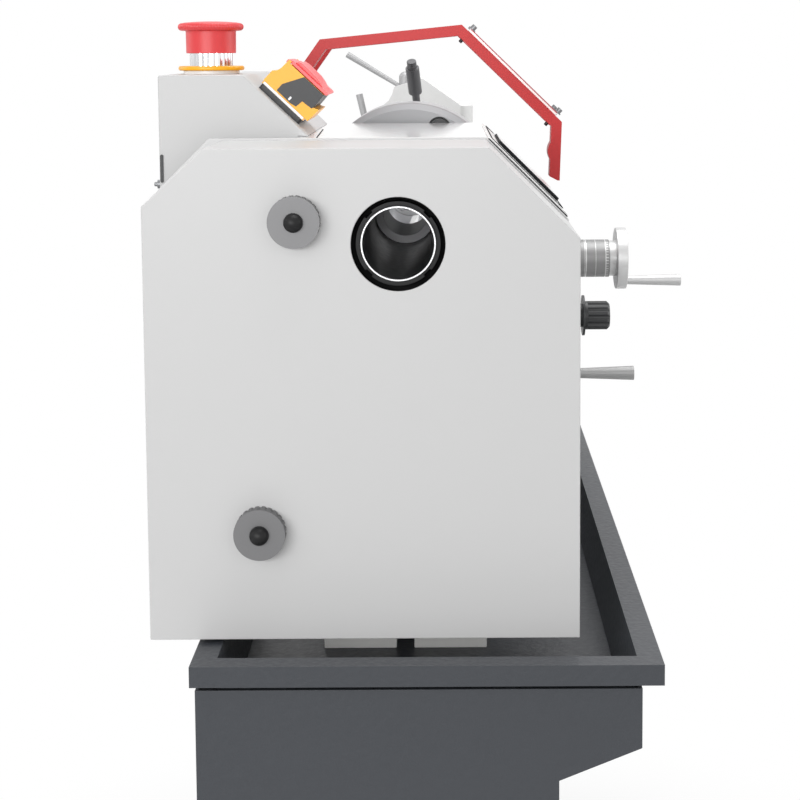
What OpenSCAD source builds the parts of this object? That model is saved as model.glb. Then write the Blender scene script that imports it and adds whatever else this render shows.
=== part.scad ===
// Universal metal lathe on a two-cabinet stand.
// +X runs along the bed towards the tailstock, -Y faces the operator and +Z is up.
// The origin lies on the floor, midway between the anchor holes, under the spindle's axis.

/* [Stand] */
// Height of the cabinets up to their top lip
stand_h = 745; // [700:1:800]
// Length of one cabinet along the bed
cab_len = 380; // [340:1:420]
// From the axis back to the rear of the cabinets
cab_rear = 140.5; // [130:0.5:141]
// From the axis forward to the front of the cabinets
cab_front = 109; // [95:1:120]
// How far the collar under the tray stands out past the cabinet front
collar_reach = 57; // [50:1:58]
// Height of the upright part of the collar
collar_h = 42.5; // [32:0.5:50]
// Height over which the collar slopes back to the cabinet front
collar_slope_h = 23; // [15:1:40]
// Thickness of the cabinet sheet
cab_sheet = 2.5; // [1.5:0.5:3]
// Thickness of the plate that stands on the floor
base_plate = 5; // [3:1:8]
// Diameter of the anchor holes
anchor_d = 14; // [10:1:18]
// Distance of each anchor hole from its cabinet's end
anchor_edge = 42; // [30:1:60]
// Distance of the anchor holes from the axis, to each side
anchor_reach = 80; // [60:1:90]
// Depth of the tray seat below the top lip
seat_drop = 27; // [20:1:30]

/* [Chip tray] */
// Length of the tray over its rims
tray_len = 1350; // [1340:1:1380]
// From the axis back to the rear rim
tray_rear = 143; // [140:1:150]
// From the axis forward to the front rim
tray_front = 180; // [176:1:190]
// Width of the flat rim
rim_w = 17; // [17:1:22]
// Height of the turned-down lip
lip_h = 14.5; // [8:0.5:18]
// Depth of the tray floor below the rim
tray_depth = 44.5; // [40:0.5:60]
// How far the tray walls lean in between rim and floor
tray_lean = 6; // [5:0.5:9]
// Thickness of the tray sheet
tray_sheet = 2; // [1:0.5:3]
// How far the cabinets stay inside the tray's ends
cab_inset = 8; // [5:1:12]
// From the tray's near end to the end cover's face
tray_reach = 46; // [42:1:50]

/* [Bed] */
// Length of the bed
bed_len = 1140; // [1100:1:1150]
// Width over the ways
bed_w = 150; // [146:1:154]
// Height of the bed casting
bed_h = 125; // [120:1:135]
// From the end cover's face to the bed's end
bed_setback = 109; // [108:1:112]
// Width of one way
way_w = 42; // [38:1:46]
// Thickness of the ways
way_t = 18; // [14:1:20]
// Height of the vee on each way
vee_h = 8; // [5:0.5:9]
// Distance of each vee from the axis plane
vee_y = 62; // [58:1:64]
// Thickness of the bed's walls
bed_wall = 14; // [10:1:16]
// Number of cross ribs
rib_count = 8; // [5:1:10]
// Thickness of the cross ribs and of the foot flange
rib_t = 14; // [10:1:18]
// Height of the riser blocks under the bed
riser_h = 62; // [50:1:75]
// Width of one riser block
riser_w = 56; // [50:1:58]
// Length of a riser block along the bed
riser_len = 60; // [50:1:80]
// Space between the two riser blocks of a pair
riser_gap = 13.5; // [10:0.5:20]
// Diameter of the bolts that hold the bed down
bed_bolt_d = 12; // [10:1:14]

/* [Spindle and chuck] */
// Height of the spindle axis above the bed
centre_h = 140; // [138:1:150]
// Bore through the spindle nose
spindle_bore = 38; // [30:1:40]
// Wider bore at the outer end of the spindle
tail_bore = 50; // [45:1:50]
// Depth of the wider bore
tail_bore_depth = 267; // [200:1:280]
// Outer diameter of the spindle tail
tail_d = 53; // [52:0.5:54]
// Diameter of the spindle in the front bearing
journal_d = 60; // [56:1:64]
// Outer diameter of the ring nut on the tail
ring_nut_d = 59; // [57:1:61]
// Chuck and flange diameter
chuck_d = 170; // [150:1:175]
// Width of the sloping rim on the flange's near side
flange_rim = 5; // [2:1:8]
// Thickness of the chuck body
chuck_t = 70; // [60:1:75]
// Thickness of the spindle flange behind the chuck
flange_t = 30; // [20:1:32]
// Through bore of the chuck
chuck_bore = 42; // [40:1:46]
// Width of a chuck jaw
jaw_w = 20; // [16:1:22]
// Radial length of a chuck jaw
jaw_len = 46; // [40:1:50]
// How far the jaws stand out of the chuck face
jaw_reach = 28; // [20:1:32]
// Circle of the chuck screws
chuck_screw_circle = 137; // [130:1:138]

/* [Headstock] */
// Length of the headstock
head_len = 240; // [236:1:250]
// Half width of the headstock casting
head_half = 74; // [70:1:74]
// Height of the casting above the axis
head_rise = 50; // [46:1:55]
// Height of the housing above the axis
house_rise = 68; // [66:0.5:72]
// From the axis forward to the housing front
house_front = 126; // [124:1:128]
// From the axis back to the housing rear
house_rear = 79; // [78:1:79]
// Rise and run of the sloping front of the housing
house_slope = 62.5; // [55:0.5:68]
// Wall thickness of the housing
house_wall = 3; // [2:0.5:4]
// Depth of the end cover
cover_depth = 105; // [102:1:110]
// From the axis forward to the cover's front side
cover_front = 126; // [124:1:130]
// From the axis back to the cover's rear side
cover_rear = 177; // [174:1:183]
// Height of the cover above the axis
cover_rise = 66.5; // [60:0.5:67]
// Depth of the cover below the axis
cover_drop = 280; // [265:1:281]
// Size of the cover's front chamfer
front_chamfer = 63; // [50:1:66]
// Width of the cover's rear chamfer
rear_chamfer_w = 43; // [35:1:50]
// Height of the cover's rear chamfer
rear_chamfer_h = 39.5; // [30:0.5:45]
// Sheet thickness of the cover
cover_sheet = 1.5; // [1:0.5:2]
// Hole in the cover round the spindle
cover_hole_d = 65.5; // [62:0.5:68]
// Diameter of the knurled cover nuts
cover_nut_d = 36; // [30:1:40]
// Length of the knurled cover nuts
cover_nut_t = 10.7; // [8:0.1:14]
// Diameter of the cover studs
stud_d = 13.4; // [10:0.1:14]
// From the axis back to the end plate's rear edge
plate_rear = 184; // [178:1:185]
// Height at which the end plate's rear chamfer starts
plate_corner_z = 29; // [20:1:34]
// From the axis back to the top of that chamfer
plate_corner_y = 144.5; // [138:0.5:150]
// Thickness of the end plate
plate_t = 3; // [2:0.5:3]
// Length of the control panel
panel_len = 230; // [200:1:236]
// Thickness of the control panel
panel_t = 1.6; // [1:0.1:3]
// From the end cover's face to the selector knob
selector_reach = 130; // [126:1:150]
// Depth of the selector knob below the axis
selector_z = 71.2; // [60:0.1:90]
// Diameter of the selector knob
selector_d = 21.9; // [20:0.1:26]
// Diameter of the selector's thin flange
selector_flange_d = 31; // [28:1:36]
// Distance of the flange's back in front of the axis
selector_flange_y = 137.5; // [134:0.5:142]
// Distance of the selector's end in front of the axis
selector_face = 158.4; // [154:0.1:165]
// Diameter of the selector's shaft
selector_shaft_d = 12; // [10:1:14]

/* [Drive] */
// Gear module
gear_module = 2; // [2:0.5:2]
// Teeth on the spindle gear
spindle_teeth = 30; // [29:1:31]
// Teeth on the idler gear
idler_teeth = 80; // [78:1:82]
// Teeth on the leadscrew gear
screw_teeth = 28; // [26:1:28]
// Face width of the gears
gear_w = 12; // [10:1:14]
// Play between meshing teeth
backlash = 0.5; // [0.4:0.1:0.7]
// Groove diameter of the spindle pulley
big_pulley_d = 80; // [74:1:82]
// Groove diameter of the motor pulley
small_pulley_d = 46; // [40:1:48]
// Width of the belt
belt_w = 22; // [18:1:24]
// Thickness of the belt
belt_t = 4; // [3:0.5:5]
// Distance of the motor shaft behind the axis
motor_y = 132; // [130:1:134]
// Depth of the motor shaft below the axis
motor_z = 86; // [84:1:90]
// Diameter of the motor
motor_d = 104; // [96:1:105]
// Length of the motor
motor_len = 210; // [180:1:240]
// Diameter of the leadscrew
leadscrew_d = 20; // [18:1:22]
// Distance of the leadscrew in front of the axis
leadscrew_y = 91; // [90:1:92]
// Depth of the leadscrew below the axis
leadscrew_z = 190; // [188:1:192]

/* [Electrical box] */
// Length of the electrical box along the bed
box_len = 210; // [180:1:215]
// From the axis back to the box's rear
box_rear = 185.5; // [182:0.5:190]
// Height of the box above the axis
box_rise = 115; // [110:1:120]
// Depth of the box below the axis
box_drop = 26; // [20:1:27]
// From the axis back to the top of the box's slope
box_slope_top = 121; // [118:1:124]
// Fall of the slope for each millimetre forward
box_fall = 0.951; // [0.93:0.005:0.97]
// Sheet thickness of the box
box_sheet = 2; // [1:0.5:3]
// From the end cover's face to the box
box_reach = 127; // [122:1:130]
// Diameter of the emergency-stop head
estop_d = 52; // [45:1:55]
// Diameter of the emergency-stop skirt
estop_skirt_d = 39; // [37:1:42]
// Diameter of the fixed neck under the skirt
estop_neck_d = 34; // [30:0.5:34.5]
// Travel of the emergency-stop head
estop_travel = 4; // [2:0.5:5]
// Length of the flap switch along the bed
switch_w = 70; // [60:1:75]
// Length of the switch body along the slope
switch_l = 46; // [42:1:50]
// Height of the switch body above the slope
switch_h = 30; // [29:1:34]
// Diameter of the start button under the flap
button_d = 14; // [12:1:16]
// Diameter of the start button's stem
button_stem_d = 6; // [5:1:8]
// Travel of the start button
button_travel = 3; // [2:0.5:3]

/* [Chuck guard] */
// Thickness of the guard's bent bars
guard_bar = 9.5; // [8:0.5:10]
// Width of the far guard bar along the bed
guard_bar_w = 8; // [6:1:10]
// Width of the near guard bar, which carries the leg
guard_leg_w = 20; // [12:1:24]
// Distance between the outer sides of the two guard bars
guard_w = 86; // [80:1:90]
// From the end cover's face to the first guard bar
guard_x = 376; // [370:1:380]
// Thickness of the clear shield
shield_t = 3; // [2:0.5:3]
// Diameter of the guard's hinge shaft
guard_shaft_d = 14; // [12:1:16]
// From the axis back to the guard's hinge
hinge_y = 103; // [100:1:106]
// Height of the guard's hinge above the axis
hinge_z = 102; // [100:1:104]
// From the axis back to the guard's rear bend
guard_rear_y = 81; // [76:1:86]
// Height of the guard's rear bend
guard_rear_z = 143; // [136:0.2:146]
// Distance of the guard's brow in front of the axis
guard_brow_y = 48; // [42:1:54]
// Height of the guard's brow above the axis
guard_rise = 155.6; // [150:0.1:160]
// Distance of the guard's knee in front of the axis
guard_front = 138.8; // [134:0.1:142]
// Height of the guard's knee
guard_knee_z = 66.9; // [60:0.1:72]
// Height of the guard's foot
guard_foot_z = 13.4; // [8:0.1:20]

/* [Carriage] */
// From the end cover's face to the middle of the carriage
carriage_x = 641; // [636:1:650]
// Length of the saddle along the bed
saddle_len = 200; // [190:1:210]
// Thickness of the saddle over the ways
saddle_t = 26; // [22:1:26]
// Width of the saddle's bridge and of the cross slide
bridge_w = 104; // [96:1:110]
// Height of the slide dovetails
dovetail_h = 12; // [9:1:12]
// Width of the slide dovetails at their top
dovetail_w = 70; // [60:1:74]
// Depth of the cross-slide screw below the axis
cross_screw_z = 92; // [90:0.5:92]
// Diameter of the slide screws
slide_screw_d = 14; // [12:1:15]
// Length of the cross slide
cross_len = 190; // [180:1:200]
// Depth of the cross slide's top below the axis
cross_top = 70; // [68:1:72]
// Distance of the crank disc's face in front of the axis
crank_face_y = 225.5; // [222:0.5:230]
// Diameter of the crank discs
crank_d = 66; // [60:1:70]
// Thickness of the crank discs
crank_t = 11; // [8:1:12]
// Distance from a crank's axis to its handle
crank_throw = 24; // [20:1:25]
// Length of the cross crank's handle
cross_handle_len = 59.5; // [50:0.5:70]
// Diameter of the crank handles at the end
handle_end_d = 12.6; // [11:0.2:14]
// Diameter of the crank handles at the root
handle_root_d = 9; // [8:0.5:10]
// Height of the top slide's top below the axis
top_slide_top = 18; // [16:1:20]
// Diameter of the swivel base
swivel_d = 92; // [86:1:96]
// Height of the swivel disc
swivel_t = 12; // [10:1:14]
// Length of the top slide
top_slide_len = 130; // [120:1:140]
// Width of the tool post
post_w = 62; // [56:1:66]
// Height of the tool post
post_h = 58; // [50:1:62]
// Distance of the apron's face in front of the axis
apron_front = 138; // [132:1:140]
// Diameter of the apron handwheel
wheel_d = 124; // [110:1:126]
// Distance of the wheel's handle from its axis
wheel_throw = 48; // [40:1:50]
// Distance of the wheel handle's end in front of the axis
wheel_handle_end = 235; // [225:1:245]
// Diameter of the wheel's handle at its end
wheel_handle_d = 15.4; // [14:0.2:18]
// Diameter of the wheel's handle at its root
wheel_handle_root = 10; // [9.5:0.5:11]
// Depth of the handwheel's axis below the axis
wheel_z = 218; // [216:1:218]
// Teeth on the handwheel's rack pinion
pinion_teeth = 12; // [12:1:12]

/* [Tailstock] */
// From the end cover's face to the tailstock's front
tailstock_x = 1085; // [1060:1:1100]
// Length of the tailstock body
tailstock_len = 120; // [110:1:140]
// Half width of the tailstock body
tailstock_half = 52; // [48:1:54]
// Height of the tailstock's peak above the axis
tailstock_peak = 95; // [90:1:98]
// Height of the tailstock's shoulders above the axis
tailstock_shoulder = 58; // [50:1:60]
// Diameter of the quill
quill_d = 44; // [40:1:50]
// Length of the quill
quill_len = 180; // [170:1:190]
// Taper socket in the quill, taken as a round hole
quill_bore = 20; // [16:1:24]
// How far the quill stands out of the barrel
quill_out = 30; // [10:1:30]
// Diameter of the tailstock handwheel
tail_wheel_d = 110; // [90:1:120]

/* [Clearances] */
// Radial clearance of turning and sliding shafts
run_gap = 0.05; // [0.03:0.01:0.08]
// Gap between faces that slide past each other
slide_gap = 0.3; // [0.25:0.05:0.4]
// Radial clearance of parts fixed to each other
fit_gap = 0.02; // [0.01:0.01:0.05]

/* [Hidden] */
$fn = 48;
cut = 1;

// Levels, measured up from the floor
seat_z = stand_h - seat_drop;
tray_floor = seat_z + tray_sheet;
rim_top = tray_floor + tray_depth;
bed_z = tray_floor + riser_h;
bed_top = bed_z + bed_h;
axis_z = bed_top + centre_h;

// Places along the bed
cab_x = -tray_len / 2 + cab_inset;
cover_x = -tray_len / 2 + tray_reach;
bed_x = cover_x + bed_setback;
bed_end = bed_x + bed_len;
bed_bolt_x = [bed_x + riser_len / 2, bed_end - riser_len / 2];
bed_bolt_y = (riser_gap + riser_w) / 2;
head_x = cover_x + cover_depth + slide_gap + plate_t;
head_end = head_x + head_len;
flange_space = 4;
flange_x = head_end + flange_space;
chuck_x = flange_x + flange_t;
mid_x = cover_x + carriage_x;
saddle_x = mid_x - saddle_len / 2;
wheel_x = mid_x + 2 - wheel_throw;
tail_x = cover_x + tailstock_x;

collar_front = cab_front + collar_reach;
bed_half = bed_w / 2;
wall_outer = bed_half - 16;
rib_pitch = bed_len / (rib_count + 1);
bolt_head_d = 1.7 * bed_bolt_d;
bolt_head_t = 0.65 * bed_bolt_d;
bolt_nut_t = 0.8 * bed_bolt_d;

// Gear train, drawn in the plane across the spindle, centred on its axis
spindle_r = gear_module * spindle_teeth / 2;
idler_r = gear_module * idler_teeth / 2;
screw_r = gear_module * screw_teeth / 2;
screw_c = [-leadscrew_y, -leadscrew_z];
train_a = spindle_r + idler_r;
train_b = idler_r + screw_r;
train_c = norm(screw_c);
train_along = (train_a ^ 2 - train_b ^ 2 + train_c ^ 2) / (2 * train_c);
train_aside = sqrt(train_a ^ 2 - train_along ^ 2);
train_dir = screw_c / train_c;
idler_c = train_along * train_dir + train_aside * [-train_dir[1], train_dir[0]];
spindle_phase = atan2(idler_c[1], idler_c[0]);
idler_phase = spindle_phase + 180 + 180 / idler_teeth;
idler_to_screw = screw_c - idler_c;
screw_side = atan2(idler_to_screw[1], idler_to_screw[0]);
idler_lead = idler_phase - screw_side;
idler_pitch = 360 / idler_teeth;
idler_offset = idler_lead - idler_pitch * floor(idler_lead / idler_pitch);
screw_phase = screw_side + 180 + 180 / screw_teeth - idler_offset * idler_teeth / screw_teeth;
gear_x = cover_x + 60;
pulley_x = cover_x + 24;
pulley_rim = 3;
groove_w = belt_w + 2;
belt_gap = 0.7;
motor_c = [motor_y, -motor_z];
idler_stud_d = 16;
quadrant_x = gear_x + gear_w + slide_gap;
quadrant_t = 10;
motor_shaft_d = 16;
motor_plate_t = 10;
motor_plate_x = head_x + 3;

// Spindle and bearings
spindle_x = cover_x + 3;
ring_nut_x = cover_x + 4;
ring_nut_t = 14;
bearing_wall = 30;
rear_bearing_d = 85;
front_bearing_d = 95;
rear_bearing_t = 20;
front_bearing_t = 24;
bearing_inset = 4;
register_d = 80;
register_t = 5;
chuck_screw_d = 12;
chuck_screw_head_d = 18;
chuck_screw_head_t = 12;
chuck_screw_sink_d = 21;
chuck_screw_sink = 14;
chuck_screw_angle = 113.4;
jaw_depth = 22;
jaw_inner = 22;
key_hole_d = 18;

// Cover studs: distance behind the axis, height against the axis
upper_stud = [71.2, 16.4];
lower_stud = [97.8, -201.8];
stud_dome = 1;

// Electrical box and what stands on it
slope_angle = atan(box_fall);
box_x = cover_x + box_reach;
box_end = box_x + box_len;
box_lip_y = box_slope_top - (box_rise - house_rise) / box_fall;
switch_y = 110.2;
switch_z = box_rise - (box_slope_top - switch_y) * box_fall;
switch_x = box_x + 18;
switch_base_l = 40;
switch_foot_h = 4.5;
switch_base_h = 6.5;
estop_x = cover_x + 192;
estop_y = 153.5;
estop_ring_t = 3.5;
estop_base_t = 3;
estop_neck_t = 12;
estop_skirt_t = 18;
estop_rim_t = 7;
estop_stem_d = 12;

// Chuck guard
guard_hinge = [hinge_y, hinge_z];
guard_x0 = cover_x + guard_x;
guard_path = [[guard_hinge[0] + 9, guard_hinge[1] - 2.5], [guard_rear_y, guard_rear_z],
    [-guard_brow_y, guard_rise], [-guard_front, guard_knee_z], [-guard_front + 2, guard_foot_z]];
guard_bracket_t = 20;

// Carriage levels, measured from the axis
saddle_bottom = -centre_h + slide_gap;
saddle_top = -centre_h + saddle_t;
cross_bottom = saddle_top + slide_gap;
dove_taper = 0.55;
channel_w = slide_screw_d + 6;
channel_top = -cross_screw_z + slide_screw_d / 2 + 4;
cross_front = 58;
swivel_front = 5;
swivel_pin_d = 24;
top_bracket_x = 98;
top_slide_near = -75;
cross_screw_len = 250;
top_screw_len = 140;
crank_dial = 58;
top_dial = 16;
half_nut_x = mid_x + 60;
half_nut_z = 175;
quill_clamp_y = 22.9;
quill_clamp_x = tail_x + 40;
quill_lever_angle = 58.6;
clamp_x = tail_x + 70;
clamp_z = 60;
clamp_lean = 12.8;
chuck_screw_hold = 20;
stud_top = -top_slide_top + post_h + 10;
hub_d = 40;
hub_neck_d = 38;
hub_neck_t = 7;
handle_pin_d = 6;
handle_pin_len = 40;
swivel_bottom = -cross_top + slide_gap;
swivel_top = swivel_bottom + swivel_t;
top_base_t = 8;
top_base_top = swivel_top + top_base_t;
top_dove_h = 9;
top_dove_w = 46;
top_screw_d = 10;
top_screw_z = top_base_top + top_dove_h + 1.5 + top_screw_d / 2;
top_channel_w = top_screw_d + 4;
top_slide_w = 74;
top_slide_front = 60;
post_stud_d = 16;
post_bottom = -top_slide_top + slide_gap;
post_top = post_bottom + post_h;
lever_hub_d = 30;
lever_hub_t = 18;
lever_tilt = 32;
apron_h = 96;
wheel_shaft_d = 14;
wheel_face = 164;
wheel_rim_t = 16;
wheel_rim_w = 12;
wheel_web_t = 8;
wheel_hub_d = 32;
wheel_pin_d = 7;
pinion_r = gear_module * pinion_teeth / 2;
rack_pitch = PI * gear_module;
rack_count = 116;
rack_w = 12;
rack_back = 12;
rack_line = -wheel_z + pinion_r;
tooth_top = 0.8 * gear_module;
tooth_root = 1.15 * gear_module;

// Tailstock
barrel_d = 66;
barrel_front = 12;
barrel_rear = 42;
barrel_cap = 8;
quill_screw_d = 16;
quill_taper_depth = 60;
tail_hub_d = 36;

// Left-hand normal of the line from a to b
function side_of(a, b) = let (d = (b - a) / norm(b - a)) [-d[1], d[0]];

// Outline p of a closed shape listed counter-clockwise, moved inwards by t
function inset(p, t) = [for (i = [0 : len(p) - 1])
    let (n1 = side_of(p[(i + len(p) - 1) % len(p)], p[i]),
        n2 = side_of(p[i], p[(i + 1) % len(p)]),
        m = n1 + n2)
    p[i] + m * t / (m * n1)];

// Strip of width t along the left side of an open path p
function strip(p, t) = concat(p, [for (i = [len(p) - 1 : -1 : 0])
    let (last = len(p) - 1,
        n1 = side_of(p[max(i - 1, 0)], p[max(i - 1, 0) + 1]),
        n2 = side_of(p[min(i, last - 1)], p[min(i, last - 1) + 1]),
        m = n1 + n2)
    p[i] + m * t / (m * n1)]);

// Spur gear outline with straight-sided teeth, one of them centred on angle 0
function gear_points(teeth) =
    let (r = gear_module * teeth / 2,
        half = (PI * gear_module / 2 - backlash) / 2,
        tip = (half - tooth_top * tan(20)) / (r + tooth_top) * 180 / PI,
        root = (half + tooth_root * tan(20)) / (r - tooth_root) * 180 / PI)
    [for (i = [0 : teeth - 1], s = [[-root, -tooth_root], [-tip, tooth_top], [tip, tooth_top], [root, -tooth_root]])
        (r + s[1]) * [cos(i * 360 / teeth + s[0]), sin(i * 360 / teeth + s[0])]];

// Belt line round two pulleys, at radius ra about a and rb about b
function belt_points(a, ra, b, rb) =
    let (d = b - a,
        line = atan2(d[1], d[0]),
        lap = acos((ra - rb) / norm(d)),
        steps = 14)
    concat([for (i = [0 : steps])
        let (t = line + lap + i * (360 - 2 * lap) / steps)
        a + ra * [cos(t), sin(t)]],
        [for (i = [0 : steps])
        let (t = line - lap + i * 2 * lap / steps)
        b + rb * [cos(t), sin(t)]]);

// Moves to a place measured from the end cover's face and the spindle axis
module head(x, y = 0, z = 0) {
    translate([cover_x + x, y, axis_z + z]) children();
}

module lift(z) {
    translate([0, 0, z]) children();
}

// Moves to a place on the spindle's axis
module on_axis(x) {
    translate([x, 0, axis_z]) children();
}

// Runs a (y, z) outline along the bed
module run_x(len) {
    rotate([90, 0, 90]) linear_extrude(len) children();
}

// Runs an (x, z) outline towards the operator
module run_front(len) {
    rotate([90, 0, 0]) linear_extrude(len) children();
}

module rod_x(d, len) {
    rotate([0, 90, 0]) cylinder(d = d, h = len);
}

module rod_front(d, len) {
    rotate([90, 0, 0]) cylinder(d = d, h = len);
}

module cone_front(d1, d2, len) {
    rotate([90, 0, 0]) cylinder(d1 = d1, d2 = d2, h = len);
}

// Box between a low and a high corner
module block(low, high) {
    translate(low) cube(high - low);
}

// Dovetail outline, wide at the top, grown by g all round
module dovetail(w, h, g = 0) {
    foot = w / 2 - h * dove_taper;
    polygon([[-foot - g, -cut * (g > 0 ? 1 : 0)], [foot + g, -cut * (g > 0 ? 1 : 0)], [w / 2 + g, h + g],
        [-w / 2 - g, h + g]]);
}

// One cabinet, its near end at x = 0 and open at the top towards +x
module cabinet(bolt_x) {
    outer = [[cab_rear, 0], [cab_rear, stand_h], [-collar_front, stand_h],
        [-collar_front, stand_h - collar_h], [-cab_front, stand_h - collar_h - collar_slope_h],
        [-cab_front, 0]];
    difference() {
        run_x(cab_len) polygon(outer);
        intersection() {
            translate([cab_sheet, 0, 0]) run_x(cab_len - 2 * cab_sheet) polygon(inset(outer, cab_sheet));
            block([0, -collar_front, base_plate], [cab_len, cab_rear, seat_z - cab_sheet]);
        }
        block([cab_sheet, -collar_front + cab_sheet, seat_z],
            [cab_len + cut, cab_rear - cab_sheet, stand_h + cut]);
        for (x = [anchor_edge, cab_len - anchor_edge], y = [-anchor_reach, anchor_reach])
            translate([x, y, -cut]) cylinder(d = anchor_d, h = base_plate + 2 * cut);
        for (y = [-bed_bolt_y, bed_bolt_y])
            translate([bolt_x, y, seat_z - cab_sheet - cut])
                cylinder(d = bed_bolt_d + 1, h = cab_sheet + 2 * cut);
    }
}

module left_cabinet() {
    color("#50545a") translate([cab_x, 0, 0]) cabinet(bed_bolt_x[0] - cab_x);
}

module right_cabinet() {
    color("#50545a") mirror([1, 0, 0]) translate([cab_x, 0, 0]) cabinet(-bed_bolt_x[1] - cab_x);
}

// Solid with leaning sides, as wide as the tray's inside grown by g
module pan(g, low) {
    half = tray_len / 2 - rim_w + g;
    rear = tray_rear - rim_w + g;
    front = tray_front - rim_w + g;
    top = rim_top + (g > 0 ? 0 : cut);
    intersection() {
        translate([-half, 0, 0]) run_x(2 * half)
            polygon([[rear - tray_lean, low], [rear, top], [-front, top], [-front + tray_lean, low]]);
        translate([0, rear, 0]) run_front(rear + front)
            polygon([[-half + tray_lean, low], [half - tray_lean, low], [half, top], [-half, top]]);
    }
}

module chip_tray() {
    half = tray_len / 2;
    lip_z = rim_top - lip_h;
    color("#44484e") difference() {
        union() {
            difference() {
                block([-half, -tray_front, lip_z], [half, tray_rear, rim_top]);
                block([-half + tray_sheet, -tray_front + tray_sheet, lip_z - cut],
                    [half - tray_sheet, tray_rear - tray_sheet, rim_top - tray_sheet]);
            }
            pan(tray_sheet, seat_z);
        }
        pan(0, tray_floor);
        for (x = bed_bolt_x, y = [-bed_bolt_y, bed_bolt_y])
            translate([x, y, seat_z - cut]) cylinder(d = bed_bolt_d + 1, h = tray_sheet + 2 * cut);
    }
}

module riser_blocks() {
    color("#b4b6b8") for (x = [bed_x, bed_end - riser_len], s = [-1, 1])
        difference() {
            translate([x, s > 0 ? riser_gap / 2 : -riser_gap / 2 - riser_w, tray_floor])
                cube([riser_len, riser_w, riser_h]);
            translate([x + riser_len / 2, s * bed_bolt_y, tray_floor - cut])
                cylinder(d = bed_bolt_d + 1, h = riser_h + 2 * cut);
        }
}

module bed_section() {
    for (m = [0, 1]) mirror([m, 0]) {
        polygon([[bed_half - way_w, bed_h - way_t], [wall_outer - bed_wall, bed_h - way_t],
            [wall_outer - bed_wall, rib_t], [wall_outer - bed_wall - 10, rib_t],
            [wall_outer - bed_wall - 10, 0], [bed_half - 1, 0], [bed_half - 1, rib_t], [wall_outer, rib_t],
            [wall_outer, bed_h - way_t], [bed_half, bed_h - way_t], [bed_half, bed_h],
            [vee_y + vee_h, bed_h], [vee_y, bed_h + vee_h], [vee_y - vee_h, bed_h], [bed_half - way_w, bed_h]]);
    }
}

module bed() {
    inner = wall_outer - bed_wall + cut;
    color("#8f9294") difference() {
        union() {
            translate([bed_x, 0, bed_z]) run_x(bed_len) bed_section();
            for (i = [1 : rib_count])
                block([bed_x + i * rib_pitch - rib_t / 2, -inner, bed_z + rib_t],
                    [bed_x + i * rib_pitch + rib_t / 2, inner, bed_top - 3 * way_t]);
            for (x = [bed_x, bed_end - riser_len])
                block([x, -inner, bed_z], [x + riser_len, inner, bed_z + rib_t]);
        }
        for (x = bed_bolt_x, y = [-bed_bolt_y, bed_bolt_y])
            translate([x, y, bed_z - cut]) cylinder(d = bed_bolt_d + 1, h = rib_t + 2 * cut);
    }
}

module bed_bolts() {
    low = seat_z - cab_sheet;
    top = bed_z + rib_t;
    color("#34363a") for (x = bed_bolt_x, y = [-bed_bolt_y, bed_bolt_y])
        translate([x, y, 0]) {
            lift(low - bolt_nut_t - 4)
                cylinder(d = bed_bolt_d, h = top - low + bolt_nut_t + 4 + cut);
            lift(top) cylinder(d = bolt_head_d, h = bolt_head_t, $fn = 6);
            lift(low - bolt_nut_t) cylinder(d = bolt_head_d, h = bolt_nut_t, $fn = 6);
        }
}

// The rack's teeth hang down, with a gap over the handwheel's axis
module rack() {
    half = (PI * gear_module / 2 - backlash) / 2;
    tip = half - tooth_top * tan(20);
    root = half + tooth_root * tan(20);
    start = wheel_x - rack_pitch * (floor((wheel_x - bed_x - 60) / rack_pitch) - 0.5);
    top = rack_line + tooth_root + rack_back;
    color("#9a9c9e") translate([start, -wall_outer, axis_z]) run_front(rack_w)
        polygon(concat([for (i = [0 : rack_count - 1], s = [[-root, tooth_root], [-tip, -tooth_top],
            [tip, -tooth_top], [root, tooth_root]])
            [i * rack_pitch + s[0], rack_line + s[1]]],
            [[rack_count * rack_pitch, rack_line + tooth_root], [rack_count * rack_pitch, top],
            [-rack_pitch, top], [-rack_pitch, rack_line + tooth_root]]));
}

module leadscrew_brackets() {
    t = 28;
    color("#8f9294") for (x = [bed_x, bed_end - t - 10])
        difference() {
            block([x, -leadscrew_y - leadscrew_d, axis_z - leadscrew_z - leadscrew_d],
                [x + t, -bed_half, bed_top - 4]);
            translate([x - cut, -leadscrew_y, axis_z - leadscrew_z])
                rod_x(leadscrew_d + 2 * run_gap, t + 2 * cut);
        }
}

module headstock() {
    color("#8a8d90") difference() {
        on_axis(head_x) run_x(head_len)
            polygon([[head_half, -centre_h], [head_half, head_rise], [-head_half, head_rise],
                [-head_half, -centre_h]]);
        block([head_x + bearing_wall, -head_half + 18, bed_top + 25],
            [head_end - bearing_wall, head_half - 18, axis_z + head_rise + cut]);
        on_axis(head_x - cut) rod_x(rear_bearing_d + 2 * fit_gap, bearing_wall + 2 * cut);
        on_axis(head_end - bearing_wall - cut)
            rod_x(front_bearing_d + 2 * fit_gap, bearing_wall + 2 * cut);
        for (s = [-1, 1])
            translate([head_x - cut, s * vee_y, bed_top]) run_x(head_len + 2 * cut)
                polygon([[vee_h + 1 + cut, -cut], [0, vee_h + 1], [-vee_h - 1 - cut, -cut]]);
    }
}

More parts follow.
